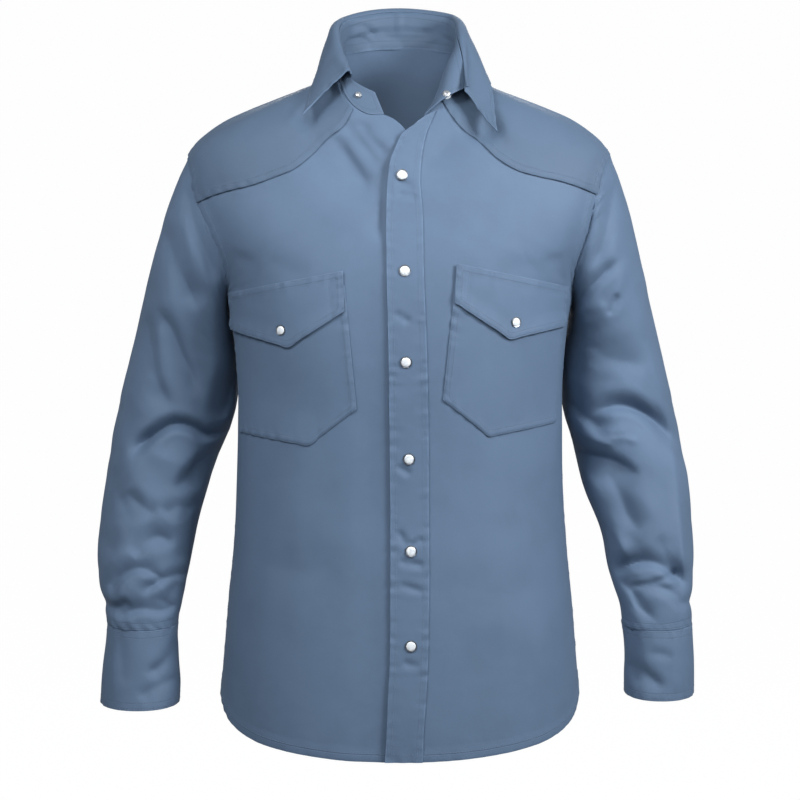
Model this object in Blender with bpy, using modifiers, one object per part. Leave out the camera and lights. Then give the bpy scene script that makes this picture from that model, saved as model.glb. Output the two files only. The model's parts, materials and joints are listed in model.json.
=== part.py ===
"""A long-sleeved western work shirt with snaps, filled out as it is worn, with nobody in it.

World frame in metres: +Z up, the front faces -Y, the wearer's left is +X.
The origin is between the shoulders, at the base of the neck. Tables are in millimetres and degrees.
"""

import math

import bmesh
import bpy
import numpy as np
from mathutils import Vector

MM = 0.001

# Cloth and gaps, in millimetres
WALL = 1.2
CUFF_WALL = 2.0
STAND_WALL = 1.8
LEAF_WALL = 1.6
SEAM_GAP = 0.35
LAYER_GAP = 0.45
PLACKET_GAP = 0.65
STAND_GAP = 0.9
YOKE_LIFT = 0.75
YOKE_AT_NECK_GAP = 3.0

# How far the right front sinks under the left one, and the angles where that starts and is full
UNDERLAP_DROP = 2.5
UNDERLAP_FROM = -24.0
UNDERLAP_FULL = -10.0

# Snaps, in millimetres, and a snap cap's turned profile as shares of its radius and height
SNAP_DIAMETER = 12.4
SNAP_HEIGHT = 3.2
SNAP_SIDES = 12
FLAP_SNAP_DIAMETER = 11.0
CAP_PROFILE = ((0, 1), (0.68, 0.86), (1, 0.4), (1, 0), (0, 0))

# The body's section at each height: half width, depth of the front and of the back from the middle
BODY_COLUMNS = ("z", "half", "front", "back")
BODY = (
    (-750, 199, 132, 131),
    (-680, 197, 131, 129),
    (-620, 193, 129, 126),
    (-560, 188, 127, 122),
    (-500, 182, 125, 118),
    (-450, 178.5, 124, 116),
    (-400, 177, 125, 116),
    (-341, 176.5, 129, 120),
    (-304, 178, 132, 124),
    (-264, 182, 134, 128),
    (-226, 188, 133, 130),
    (-205, 194, 131, 130),
    (-180, 208, 127, 129),
    (-157, 221, 122, 127),
    (-130, 230, 116, 123),
    (-100, 234, 107, 117),
    (-72, 229, 97, 109),
    (-55, 214, 90, 103),
    (-38, 190, 82, 96),
    (-22, 153, 75, 88),
    (-10, 122, 69, 81),
    (2, 92, 64, 74),
    (14, 72, 59, 68),
    (30, 64, 53, 61),
    (45, 61, 48, 56),
    (60, 60, 45, 52),
)
BODY_ROUNDNESS = 2.5

# Angles around the body run from 0 at the front middle to 90 at the wearer's left side and 180 at the back
SIDE_SEAM = 92.0
ARMPIT_Z = -232.0

# The armhole's front and back halves, from the shoulder seam down to the armpit, as seen on each side
ARMHOLE_COLUMNS = ("z", "front_left", "front_right", "back")
ARMHOLE = (
    (-66, 89, 89, 91),
    (-76, 82, 85, 97),
    (-92, 77, 79.5, 100),
    (-112, 74, 77.8, 102),
    (-135, 72, 75, 104),
    (-158, 71.2, 72.4, 106),
    (-182, 71.0, 71.6, 107),
    (-204, 74, 74, 105),
    (-220, 80, 80, 101),
    (ARMPIT_Z, SIDE_SEAM, SIDE_SEAM, SIDE_SEAM),
)
SHOULDER_END_Z = -74.0
NECK_ROW_ARM_Z = -150.0
NECK_CORNER = 78.0

# The neck seam's height at each angle, on the wearer's left and right
NECK_COLUMNS = ("angle", "left", "right")
NECK = (
    (12, -38, -32.5),
    (18.3, -35.4, -34),
    (27, -19, -31.5),
    (33, -6.5, -25),
    (37, 2, -19),
    (45.5, 15, -6),
    (60, 28, 15),
    (78, 34, 30),
    (95, 37, 37),
    (125, 43, 43),
    (152, 48, 48),
    (180, 49, 49),
)

# The left front's free edge, which lies on top, and the seam along its placket
EDGE_COLUMNS = ("z", "edge", "seam")
EDGE = (
    (-720, -6.9, 10.3),
    (-700, -6.4, 10.5),
    (-652, -5.6, 12.0),
    (-595, -4.6, 13.2),
    (-495, -4.6, 13.9),
    (-388, -4.9, 13.6),
    (-294, -5.1, 12.1),
    (-199, -6.1, 10.9),
    (-124, -7.0, 11.5),
    (-103, -6.7, 11.2),
    (-82, -5.5, 12.7),
    (-68, -2.5, 14.6),
    (-55, 1.4, 17.2),
    (-41, 13.7, 22.0),
    (-35.4, 18.3, 24.2),
    (-29.4, 18.3, 26.5),
)
UNDER_EDGE = 10.5
UNDER_CORNER = ((-7.4, -37.6), (0.7, -44), (5.1, -52.4), (UNDER_EDGE, -60))
STAND_END = {"left": 18.3, "right": -12.0}
STAND_SPAN = (18.3, 348.0)
PLACKET_COVER = 1.5
PLACKET_TOP_ROWS = (-35.4, -45, -55, -68, -82, -103)
PLACKET_LOWER_ROWS = 17
PLACKET_TOP_SLOPE = 6.0
PLACKET_TOP_FADE = 45.0
CHEST_Z = -190.0

# The hem's height at each angle, which the two fronts share, and the longer back
HEM_COLUMNS = ("angle", "z")
HEM = (
    (0, -719),
    (20, -717.5),
    (40, -712.5),
    (56, -703.5),
    (64, -695),
    (73, -681),
    (80, -667),
    (86, -655),
    (SIDE_SEAM, -650),
    (100, -660),
    (112, -686),
    (128, -712),
    (150, -727),
    (180, -731),
)

# The western front yoke's lower edge, from the neck to the armhole, on each side
YOKE_COLUMNS = ("along", "angle_left", "z_left", "angle_right", "z_right")
YOKE = (
    (0.00, 31, -10.8, -33, -25),
    (0.12, 36.5, -45, -36, -50),
    (0.25, 42.8, -61, -41.2, -61),
    (0.38, 48.9, -85, -47, -88),
    (0.50, 54.8, -96.5, -53.1, -98.6),
    (0.66, 62, -102.6, -58.5, -107.5),
    (0.82, 69.8, -112.2, -67.5, -116),
    (1.00, 73.9, -117.8, -76.0, -126),
)
BACK_YOKE_SIDE_Z = -118.0
BACK_YOKE_MIDDLE_Z = -128.0

# Pockets: each corner as seen from the front, and the snap on the flap
POCKET_COLUMNS = ("corner", "x_left", "z_left", "x_right", "z_right")
POCKET = (
    ("top_inner", 58, -206, -58, -214),
    ("top_outer", 175.5, -229, -179.5, -236),
    ("side_inner", 44.8, -335, -45.5, -344.5),
    ("point", 94.2, -374.3, -96.4, -384),
    ("side_outer", 166.2, -362, -171, -373),
    ("flap_top_inner", 59, -192, -59.4, -199.5),
    ("flap_top_outer", 177.5, -215.4, -181, -222),
    ("flap_side_inner", 56.7, -232.5, -58.3, -242),
    ("flap_point", 121.5, -272.5, -123.3, -281),
    ("flap_side_outer", 173, -257.5, -178.5, -261.5),
    ("snap", 120.5, -253, -123.8, -261.6),
)

# How each lies: its corners' prefix, its faces before and after the point, its rows
POCKET_LAYER_COLUMNS = ("name", "prefix", "faces_before", "faces_after", "rows")
POCKET_LAYERS = (
    ("pocket", "", 4, 9, 6),
    ("pocket_flap", "flap_", 5, 8, 3),
)
CLOSER_OUTWARDS = 1.5

# The front's snaps, as seen from the front: x and z of each
FRONT_SNAPS = (
    (2.1, -99),
    (5.0, -199.3),
    (6.3, -294.8),
    (9.5, -397.4),
    (11.6, -494.9),
    (11.6, -595.4),
)

# Each sleeve below the armpit: outer and inner reach from the middle, middle and half of its depth
SLEEVE_COLUMNS = ("z", "outer", "inner", "y", "deep")
SLEEVE = {
    "left": (
        (-584, 320.2, 244.0, -14, 38),
        (-572, 320.2, 243.2, -13, 40),
        (-560, 320.2, 239.8, -11, 43),
        (-545, 321.4, 234.0, -7, 47),
        (-520, 324.2, 225.8, 0, 52),
        (-495, 324.5, 222.4, 7, 56),
        (-470, 323.5, 215.7, 14, 60),
        (-445, 322.0, 202.7, 21, 65),
        (-420, 319.2, 197.0, 28, 69),
        (-395, 314.6, 194.0, 33, 72),
        (-370, 309.9, 181.5, 37, 74),
        (-341, 303.4, 177.8, 40, 76),
        (-300, 293.4, 179.0, 40, 78),
    ),
    "right": (
        (-584, 321.4, 244.0, -14, 38),
        (-572, 323.7, 239.9, -13, 41),
        (-560, 327.0, 236.9, -11, 44),
        (-545, 331.1, 233.9, -7, 48),
        (-520, 334.1, 228.8, 0, 53),
        (-495, 334.5, 225.3, 7, 57),
        (-470, 332.4, 219.8, 14, 61),
        (-445, 329.4, 212.5, 21, 65),
        (-420, 325.9, 205.2, 28, 69),
        (-395, 322.9, 198.2, 33, 72),
        (-370, 318.8, 184.5, 37, 74),
        (-341, 312.4, 177.8, 40, 76),
        (-300, 302.3, 179.0, 40, 78),
    ),
}
SLEEVE_ROUNDNESS = 2.15
CAP_BOTTOM_Z = -300.0
CAP_TURN_OUT = 0.62
CAP_TURN_FORWARD = 0.18
CAP_TURN_DOWN = 0.77
CAP_LEAVE = 0.50
CAP_ARRIVE = 0.85
CUFF_SLOPE = 0.15
CUFF_SEAM_Z = -584.0
UNDERARM_RISE = 0.8

# Each cuff from its end up to its seam, in the same columns
CUFF = {
    "left": (
        (-660, 322.5, 246.0, -19, 38.5),
        (-640, 322.9, 246.6, -18, 38.5),
        (-620, 322.6, 247.3, -17, 38),
        (-600, 321.3, 246.2, -15.5, 38),
        (-584, 320.2, 244.0, -14, 38),
    ),
    "right": (
        (-670, 328.4, 242.0, -20, 40),
        (-655, 328.0, 241.6, -19, 39.5),
        (-640, 327.3, 242.4, -18, 39),
        (-620, 325.1, 244.0, -17, 38.5),
        (-600, 322.6, 244.6, -15.5, 38),
        (-584, 321.4, 244.0, -14, 38),
    ),
}
CUFF_OPENING = 140.0
CUFF_STEP = 18.0
CUFF_ROWS = 4
CUFF_OVERLAP_STEPS = 3
CUFF_EASE_STEPS = 4
CUFF_SNAP_DROP = 0.5
SLEEVE_SLIT = 120.0
SLEEVE_SLIT_WIDTH = 25.0

# The largest sleeve folds, as lines seen from the front or the back: ends, half width and depth of the trough
FOLD_COLUMNS = ("side", "face", "x0", "z0", "x1", "z1", "wide", "deep")
FOLD_FADE = 0.5
FOLDS = (
    ("right", "front", -283, -384, -208, -352, 17, 7),
    ("right", "front", -245, -418, -200, -395, 16, 5),
    ("right", "front", -316, -475, -250, -495, 15, 4),
    ("right", "front", -284, -555, -232, -530, 12, 5),
    ("right", "front", -250, -250, -212, -330, 16, 4),
    ("right", "back", -300, -372, -215, -402, 20, -4),
    ("right", "back", -300, -430, -225, -470, 18, 4),
    ("right", "back", -310, -520, -240, -545, 14, 4),
    ("left", "front", 222, -336, 298, -374, 17, 7),
    ("left", "front", 195, -392, 258, -420, 15, 6),
    ("left", "front", 222, -430, 255, -512, 15, 4),
    ("left", "front", 240, -528, 300, -526, 12, 4),
    ("left", "front", 266, -548, 308, -542, 11, 4),
    ("left", "back", 215, -398, 300, -368, 20, -4),
    ("left", "back", 222, -468, 300, -432, 18, 4),
    ("left", "back", 236, -545, 306, -520, 14, 4),
)

# The collar, station by station from the wearer's right front end round the back to the left: the angle
# where the stand leaves the neck seam, the stand's top, the leaf's free edge and the stand's inward curve
COLLAR_COLUMNS = ("seam", "top_x", "top_y", "top_z", "leaf_x", "leaf_y", "leaf_z", "curve")
COLLAR = (
    (-12, -27, -69, -8, -105, -92, -52, 0),
    (-22, -41, -64, -1, -104, -88, -43, 0),
    (-33, -53, -56, 8, -102, -83, -34, 0),
    (-56, -59, -43, 25, -98, -66, -16, 1),
    (-76, -65, -22, 46, -92, -36, 5, 1),
    (-97, -67, 3, 65, -88, -4, 12, 1),
    (-124, -57, 36, 77, -80, 30, 20, 1),
    (-152, -31, 54, 85, -48, 66, 35, 0),
    (-180, 0, 60, 88, 0, 80, 41, 0),
    (-208, 31, 54, 85, 47, 66, 35, 0),
    (-236, 56, 36, 78, 77, 32, 20, 1),
    (-263, 62, 2, 66, 91, -4, 14, 1),
    (-286, 63, -24, 52, 96, -38, 5, 2),
    (-304, 65.5, -45, 37, 99, -64, -11, 4),
    (-318, 67.5, -59, 21, 101, -82, -32, 6),
    (-341.7, 69.5, -70, -4, 103, -96, -53, 8),
)

# The leaf's roll over the stand's top, as steps outwards and up from it
ROLL = ((0.0, 0.8), (0.3, 3.2), (2.8, 4.8), (6.0, 3.8))
LEAF_SWELL = 3.0
STAND_AHEAD = 0.3
STAND_TOP_SHARE = 0.2

# Snap parts on the stand, at the middle of one of its faces
COLLAR_SNAP_COLUMNS = ("name", "column", "row", "face", "lift", "diameter", "height", "finish")
COLLAR_SNAPS = (
    ("collar_cap", 0, 1, "outside", 0.9, 9.0, 2.2, "pearl"),
    ("collar_socket", 0, 1, "inside", 0.45, 8.0, 1.8, "metal"),
    ("collar_stud", -3, 1, "outside", 0.45, 7.5, 3.0, "metal"),
)

# How finely the cloth is cut into faces
FRONT_ACROSS = 9
ROWS_YOKE = 4
ROWS_NECK = 2
ROWS_CHEST = 5
ROWS_BODY = 16
NECK_BACK_ACROSS = 8
BACK_YOKE_ROWS = 4
BACK_ARM_ROWS = 5
CAP_ROWS = 7
SLEEVE_ROWS = 14
STAND_ROWS = 3
LEAF_ROWS = 5
FINE_STEPS = 40

# Each finish: colour, roughness, metallic
FINISHES = {
    "cloth": ((0.118, 0.170, 0.245), 0.86, 0.0),
    "pearl": ((0.86, 0.88, 0.88), 0.25, 0.0),
    "metal": ((0.60, 0.61, 0.62), 0.30, 1.0),
}

PARTS = bpy.data.collections.new("work_shirt")


def clear_scene():
    for item in list(bpy.data.objects):
        bpy.data.objects.remove(item, do_unlink=True)
    bpy.context.scene.collection.children.link(PARTS)


def finish(name, kind):
    """The node's own material."""
    colour, roughness, metallic = FINISHES[kind]
    material = bpy.data.materials.new(f"{name}_{kind}")
    material.use_nodes = True
    shader = material.node_tree.nodes["Principled BSDF"]
    shader.inputs["Base Color"].default_value = (*colour, 1.0)
    shader.inputs["Roughness"].default_value = roughness
    shader.inputs["Metallic"].default_value = metallic
    return material


def slope_limited(xs, ys):
    """Slopes for a smooth curve through the points that never overshoots them."""
    steps = np.diff(xs)
    rises = np.diff(ys) / steps
    slopes = np.zeros(len(xs))
    slopes[0], slopes[-1] = rises[0], rises[-1]
    for i in range(1, len(xs) - 1):
        if rises[i - 1] * rises[i] > 0:
            near = 2 * steps[i] + steps[i - 1]
            far = steps[i] + 2 * steps[i - 1]
            slopes[i] = (near + far) / (near / rises[i - 1] + far / rises[i])
    return slopes


class Curve:
    """A smooth reading of one column of a table against its first column."""

    def __init__(self, xs, ys):
        order = np.argsort(xs)
        self.xs = np.array(xs, float)[order]
        self.ys = np.array(ys, float)[order]
        self.slopes = slope_limited(self.xs, self.ys)

    def __call__(self, x):
        x = min(max(x, self.xs[0]), self.xs[-1])
        i = min(max(int(np.searchsorted(self.xs, x)) - 1, 0), len(self.xs) - 2)
        step = self.xs[i + 1] - self.xs[i]
        t = (x - self.xs[i]) / step
        start = self.ys[i] * (2 * t**3 - 3 * t**2 + 1)
        end = self.ys[i + 1] * (3 * t**2 - 2 * t**3)
        leave = self.slopes[i] * step * (t**3 - 2 * t**2 + t)
        arrive = self.slopes[i + 1] * step * (t**3 - t**2)
        return start + end + leave + arrive


def read(columns, rows, column, against=None):
    key = columns.index(against or columns[0])
    value = columns.index(column)
    return Curve([row[key] for row in rows], [row[value] for row in rows])


half_width = read(BODY_COLUMNS, BODY, "half")
front_depth = read(BODY_COLUMNS, BODY, "front")
back_depth = read(BODY_COLUMNS, BODY, "back")
neck_left = read(NECK_COLUMNS, NECK, "left")
neck_right = read(NECK_COLUMNS, NECK, "right")
front_edge = read(EDGE_COLUMNS, EDGE, "edge")
placket_seam = read(EDGE_COLUMNS, EDGE, "seam")
hem_height = read(HEM_COLUMNS, HEM, "z")
arm_back = read(ARMHOLE_COLUMNS, ARMHOLE, "back")
arm_front = {
    "left": read(ARMHOLE_COLUMNS, ARMHOLE, "front_left"),
    "right": read(ARMHOLE_COLUMNS, ARMHOLE, "front_right"),
}
SIGN = {"left": 1, "right": -1}


def on_form(angle, z):
    """The point of the filled body at an angle and a height."""
    sine, cosine = math.sin(math.radians(angle)), math.cos(math.radians(angle))
    deep = front_depth(z) if cosine >= 0 else back_depth(z)
    across = (abs(sine) / half_width(z)) ** BODY_ROUNDNESS
    along = (abs(cosine) / deep) ** BODY_ROUNDNESS
    radius = (across + along) ** (-1 / BODY_ROUNDNESS)
    return np.array([radius * sine, -radius * cosine, z])


def form_normal(angle, z):
    """The outward direction there."""
    sideways = on_form(angle + 0.5, z) - on_form(angle - 0.5, z)
    upwards = on_form(angle, z + 1) - on_form(angle, z - 1)
    normal = np.cross(sideways, upwards)
    return normal / np.linalg.norm(normal)


def body(angle, z, out=0.0):
    return on_form(angle, z) + out * form_normal(angle, z)


def neck_height(angle):
    return neck_left(angle) if angle >= 0 else neck_right(-angle)


def eased(t):
    """Goes smoothly from 0 to 1 as t does."""
    t = min(max(t, 0.0), 1.0)
    return t * t * (3 - 2 * t)


def between(a, b, t):
    return tuple(p + (q - p) * t for p, q in zip(a, b))


def along_points(points, t):
    """The place a share t of the way along a line of (angle, z) points, as long as they look on the body."""
    spots = [on_form(*point) for point in points]
    steps = [np.linalg.norm(b - a) for a, b in zip(spots, spots[1:])]
    total = sum(steps)
    goal = t * total
    for start, end, step in zip(points, points[1:], steps):
        if goal <= step:
            return between(start, end, goal / step)
        goal -= step
    return points[-1]


def armhole(side, part, t):
    """A point of the armhole: front half or back half, from its top (t=0) to the armpit (t=1)."""
    curve = arm_front[side] if part == "front" else arm_back
    top = SHOULDER_END_Z if part == "front" else ARMHOLE[0][0]
    line = [(SIGN[side] * curve(z), z) for z in np.linspace(top, ARMPIT_Z, FINE_STEPS)]
    return along_points(line, t)


def armhole_share(side, part, z):
    """How far down that half of the armhole a height is."""
    shares = np.linspace(0, 1, FINE_STEPS)
    heights = [-armhole(side, part, t)[1] for t in shares]
    return float(np.interp(-z, heights, shares))


def front_arm_points(side):
    """The armhole's front half, at each row of the front."""
    at_yoke = armhole_share(side, "front", yoke_edge(side, 1)[1])
    at_neck = armhole_share(side, "front", NECK_ROW_ARM_Z)
    stops = (0.0, at_yoke, at_neck, 1.0)
    shares = [0.0]
    for start, end, rows in zip(stops, stops[1:], (ROWS_YOKE, ROWS_NECK, ROWS_CHEST)):
        shares += [start + (end - start) * r / rows for r in range(1, rows + 1)]
    return [armhole(side, "front", t) for t in shares]


def back_arm_points(side):
    """The armhole's back half, from the shoulder seam over its top and down to the armpit."""
    heights = np.linspace(ARMHOLE[0][0], BACK_YOKE_SIDE_Z, FINE_STEPS)
    over_top = [armhole(side, "front", 0)] + [(SIGN[side] * arm_back(z), z) for z in heights]
    points = [along_points(over_top, r / BACK_YOKE_ROWS) for r in range(BACK_YOKE_ROWS + 1)]
    start = armhole_share(side, "back", BACK_YOKE_SIDE_Z)
    for r in range(1, BACK_ARM_ROWS + 1):
        points.append(armhole(side, "back", start + (1 - start) * r / BACK_ARM_ROWS))
    return points


def yoke_edge(side, t):
    """The front yoke's lower edge, from the neck (t=0) to the armhole (t=1)."""
    angle = read(YOKE_COLUMNS, YOKE, f"angle_{side}")
    height = read(YOKE_COLUMNS, YOKE, f"z_{side}")
    line = [(angle(s), height(s)) for s in np.linspace(0, 1, FINE_STEPS)]
    return along_points(line, t)


def neck_points(start, end, count):
    line = [(angle, neck_height(angle)) for angle in np.linspace(start, end, FINE_STEPS)]
    return [along_points(line, i / count) for i in range(count + 1)]


def front_neck_points(side):
    """The neck seam at each row of the front, from the shoulder seam to the stand's end."""
    corner, stop = SIGN[side] * NECK_CORNER, STAND_END[side]
    middle = yoke_edge(side, 0)[0]
    return neck_points(corner, middle, ROWS_YOKE) + neck_points(middle, stop, ROWS_NECK)[1:]


def back_neck_points():
    points = neck_points(NECK_CORNER, 180, NECK_BACK_ACROSS // 2)
    mirrored = [(360 - angle, neck_right(angle)) for angle, z in points[-2::-1]]
    return points + mirrored


def line_between(start, end, count):
    return [between(start, end, i / count) for i in range(count + 1)]


def band(top, bottom, left, right):
    """Rows from one line of (angle, z) to another, whose ends follow the points left and right."""
    grid = []
    for r, (start, end) in enumerate(zip(left, right)):
        t = r / (len(left) - 1)
        line = [between(a, b, t) for a, b in zip(top, bottom)]
        off_start = np.subtract(start, line[0])
        off_end = np.subtract(end, line[-1])
        row = []
        for c, point in enumerate(line):
            s = c / (len(line) - 1)
            row.append(tuple(np.add(point, (1 - s) * off_start + s * off_end)))
        grid.append(row)
    return grid


def hem_point(angle):
    folded = angle if angle <= 180 else 360 - angle
    return (angle, hem_height(abs(folded)))


def free_edge(side, z):
    """The front edge at a height: the left front lies on top and shows, the right one lies under it."""
    return (front_edge(z), z) if side == "left" else (UNDER_EDGE, z)


def front_grid(side):
    """The front's rows of (angle, z), from its free edge to its armhole and side seam."""
    sign = SIGN[side]
    across = FRONT_ACROSS
    neck, arm = front_neck_points(side), front_arm_points(side)
    shoulder = line_between(neck[0], arm[0], across)
    yoke = [yoke_edge(side, c / across) for c in range(across + 1)]
    rows = band(shoulder, yoke, neck[: ROWS_YOKE + 1], arm[: ROWS_YOKE + 1])

    turn = ROWS_YOKE + ROWS_NECK
    below_neck = line_between(neck[-1], arm[turn], across)
    rows += band(yoke, below_neck, neck[ROWS_YOKE:], arm[ROWS_YOKE : turn + 1])[1:]

    edge = [neck[-1], *UNDER_CORNER, (UNDER_EDGE, CHEST_Z)]
    if side == "left":
        edge = [(front_edge(z), z) for z in np.linspace(neck[-1][1], CHEST_Z, FINE_STEPS)]
    inner = [along_points(edge, r / ROWS_CHEST) for r in range(ROWS_CHEST + 1)]
    chest = line_between(inner[-1], arm[-1], across)
    rows += band(below_neck, chest, inner, arm[turn:])[1:]

    bottom = free_edge(side, hem_height(0))
    hem = [hem_point(angle) for angle in np.linspace(bottom[0], sign * SIDE_SEAM, across + 1)]
    inner = [free_edge(side, z) for z in np.linspace(CHEST_Z, bottom[1], ROWS_BODY + 1)]
    rows += band(chest, hem, inner, side_seam(sign * SIDE_SEAM))[1:]
    return rows


def side_seam(angle):
    heights = np.linspace(ARMPIT_Z, hem_height(SIDE_SEAM), ROWS_BODY + 1)
    return [(angle, z) for z in heights]


def back_yoke_grid():
    """One piece over both shoulders, from the left shoulder seam round the neck to the right one."""
    arm_left = back_arm_points("left")[: BACK_YOKE_ROWS + 1]
    arm_right = [(360 + a, z) for a, z in back_arm_points("right")[: BACK_YOKE_ROWS + 1]]
    left = front_grid("left")[0][::-1]
    right = [(360 + a, z) for a, z in front_grid("right")[0]]
    top = left + back_neck_points()[1:-1] + right
    bottom = []
    for c, (angle, z) in enumerate(line_between(arm_left[-1], arm_right[-1], len(top) - 1)):
        sag = math.sin(math.pi * c / (len(top) - 1))
        bottom.append((angle, z + (BACK_YOKE_MIDDLE_Z - BACK_YOKE_SIDE_Z) * sag))
    return band(top, bottom, arm_left, arm_right)


def back_grid(top):
    arm_left = back_arm_points("left")[BACK_YOKE_ROWS:]
    arm_right = [(360 + a, z) for a, z in back_arm_points("right")[BACK_YOKE_ROWS:]]
    across = len(top) - 1
    chest = line_between(arm_left[-1], arm_right[-1], across)
    rows = band(top, chest, arm_left, arm_right)
    angles = np.linspace(SIDE_SEAM, 360 - SIDE_SEAM, across + 1)
    hem = [hem_point(angle) for angle in angles]
    return rows + band(chest, hem, side_seam(SIDE_SEAM), side_seam(360 - SIDE_SEAM))[1:]


def under_drop(angle):
    """How far the right front lies under the left one where they overlap."""
    return -UNDERLAP_DROP * eased((angle - UNDERLAP_FROM) / (UNDERLAP_FULL - UNDERLAP_FROM))


def pull_in(grid, amount, edges):
    """Moves the named edges of a grid of points inwards, to leave the gap of a seam."""
    moved = [[point.copy() for point in row] for row in grid]
    down, across = range(len(grid)), range(len(grid[0]))
    pairs = {
        "top": [((0, c), (1, c)) for c in across],
        "bottom": [((-1, c), (-2, c)) for c in across],
        "left": [((r, 0), (r, 1)) for r in down],
        "right": [((r, -1), (r, -2)) for r in down],
    }
    for edge in edges:
        for (r, c), (inner_r, inner_c) in pairs[edge]:
            step = grid[inner_r][inner_c] - grid[r][c]
            moved[r][c] += step * amount / np.linalg.norm(step)
    return moved


def make_sheet(name, grid, wall, grow=1, ring=False):
    """An open surface through rows of points, thickened outwards (grow 1) or inwards (grow -1)."""
    shape = bmesh.new()
    rows = [[shape.verts.new(point * MM) for point in row] for row in grid]
    count = len(rows[0])
    for upper, lower in zip(rows, rows[1:]):
        for c in range(count if ring else count - 1):
            after = (c + 1) % count
            shape.faces.new((upper[c], lower[c], lower[after], upper[after]))
    mesh = bpy.data.meshes.new(name)
    shape.to_mesh(mesh)
    shape.free()
    mesh.materials.append(finish(name, "cloth"))
    mesh.shade_smooth()
    item = bpy.data.objects.new(name, mesh)
    PARTS.objects.link(item)
    solid = item.modifiers.new("wall", "SOLIDIFY")
    solid.thickness = wall * MM
    solid.offset = grow
    solid.use_even_offset = True
    return item


def build_fronts_and_yokes():
    for side in ("left", "right"):
        grid = front_grid(side)
        drop = under_drop if side == "right" else lambda angle: 0.0
        points = [[body(angle, z, drop(angle)) for angle, z in row] for row in grid]
        lifted = WALL + YOKE_LIFT
        yoke = [[body(angle, z, lifted) for angle, z in row] for row in grid[: ROWS_YOKE + 1]]
        inner, outer = "left", "right"
        if side == "right":
            points = [row[::-1] for row in points]
            yoke = [row[::-1] for row in yoke]
            inner, outer = outer, inner
        points = pull_in(points, SEAM_GAP / 2, ["top", outer])
        if side == "left":
            points = pull_in(points, PLACKET_COVER, [inner])
        make_sheet(f"front_{side}", points, WALL)
        yoke = pull_in(yoke, SEAM_GAP, ["top", outer])
        yoke = pull_in(yoke, YOKE_AT_NECK_GAP, [inner])
        make_sheet(f"front_yoke_{side}", yoke, WALL)


def build_back():
    yoke = back_yoke_grid()
    for name, grid in (("back_yoke", yoke), ("back", back_grid(yoke[-1]))):
        points = [[body(angle, z) for angle, z in row] for row in grid]
        edges = ["top", "left", "right"]
        if name == "back_yoke":
            edges.append("bottom")
        make_sheet(name, pull_in(points, SEAM_GAP / 2, edges), WALL)


def build_placket():
    """The strip on the left front's edge, from the neck seam to the hem, on the front's own form."""
    lower = np.linspace(PLACKET_TOP_ROWS[-1], hem_height(0), PLACKET_LOWER_ROWS + 1)
    heights = [*PLACKET_TOP_ROWS, *lower[1:]]
    points = []
    for z in heights:
        rise = PLACKET_TOP_SLOPE * max(0.0, 1 - (PLACKET_TOP_ROWS[0] - z) / PLACKET_TOP_FADE)
        start, end = (front_edge(z), z), (placket_seam(z + rise), z + rise)
        line = line_between(start, end, 2)
        points.append([body(angle, height, WALL + PLACKET_GAP) for angle, height in line])
    make_sheet("front_placket", points, WALL)


def on_front(x, z, out):
    """The point of the front that is seen at x and z, moved out."""
    half, deep = half_width(z), front_depth(z)
    y = deep * (1 - (abs(x) / half) ** BODY_ROUNDNESS) ** (1 / BODY_ROUNDNESS)
    return body(math.degrees(math.atan2(x, y)), z, out)


def pocket_corners(side):
    x_at = POCKET_COLUMNS.index(f"x_{side}")
    return {row[0]: (row[x_at], row[x_at + 1]) for row in POCKET}


def build_pocket(side):
    """The pocket lies on the front, and its flap on both. The lower edge of each runs down to a point."""
    corner = pocket_corners(side)
    for level, (name, prefix, faces_before, faces_after, rows) in enumerate(POCKET_LAYERS, 1):
        point = corner[f"{prefix}point"]
        low_inner, low_outer = corner[f"{prefix}side_inner"], corner[f"{prefix}side_outer"]
        lower = line_between(low_inner, point, faces_before)
        for c in range(1, faces_after + 1):
            share = 1 - (1 - c / faces_after) ** CLOSER_OUTWARDS
            lower.append(between(point, low_outer, share))
        span = low_outer[0] - low_inner[0]
        shares = [(x - low_inner[0]) / span for x, z in lower]
        top_inner, top_outer = corner[f"{prefix}top_inner"], corner[f"{prefix}top_outer"]
        upper = [between(top_inner, top_outer, share) for share in shares]
        out = level * (WALL + LAYER_GAP)
        grid = [[between(a, b, r / rows) for a, b in zip(upper, lower)] for r in range(rows + 1)]
        points = [[on_front(x, z, out) for x, z in row] for row in grid]
        if side == "right":
            points = [row[::-1] for row in points]
        make_sheet(f"{name}_{side}", points, WALL)


def fold_shift(side, face, x, z):
    """How far a sleeve's surface sinks into its folds at a place seen from the front or the back."""
    shift = 0.0
    for row in FOLDS:
        if row[:2] != (side, face):
            continue
        x0, z0, x1, z1, wide, deep = row[2:]
        run = np.array([x1 - x0, z1 - z0], float)
        place = np.array([x - x0, z - z0], float)
        t = min(max(float(place @ run) / float(run @ run), 0.0), 1.0)
        away = np.linalg.norm(place - t * run) / wide
        shift += deep * math.exp(-away * away)
    return shift


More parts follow.
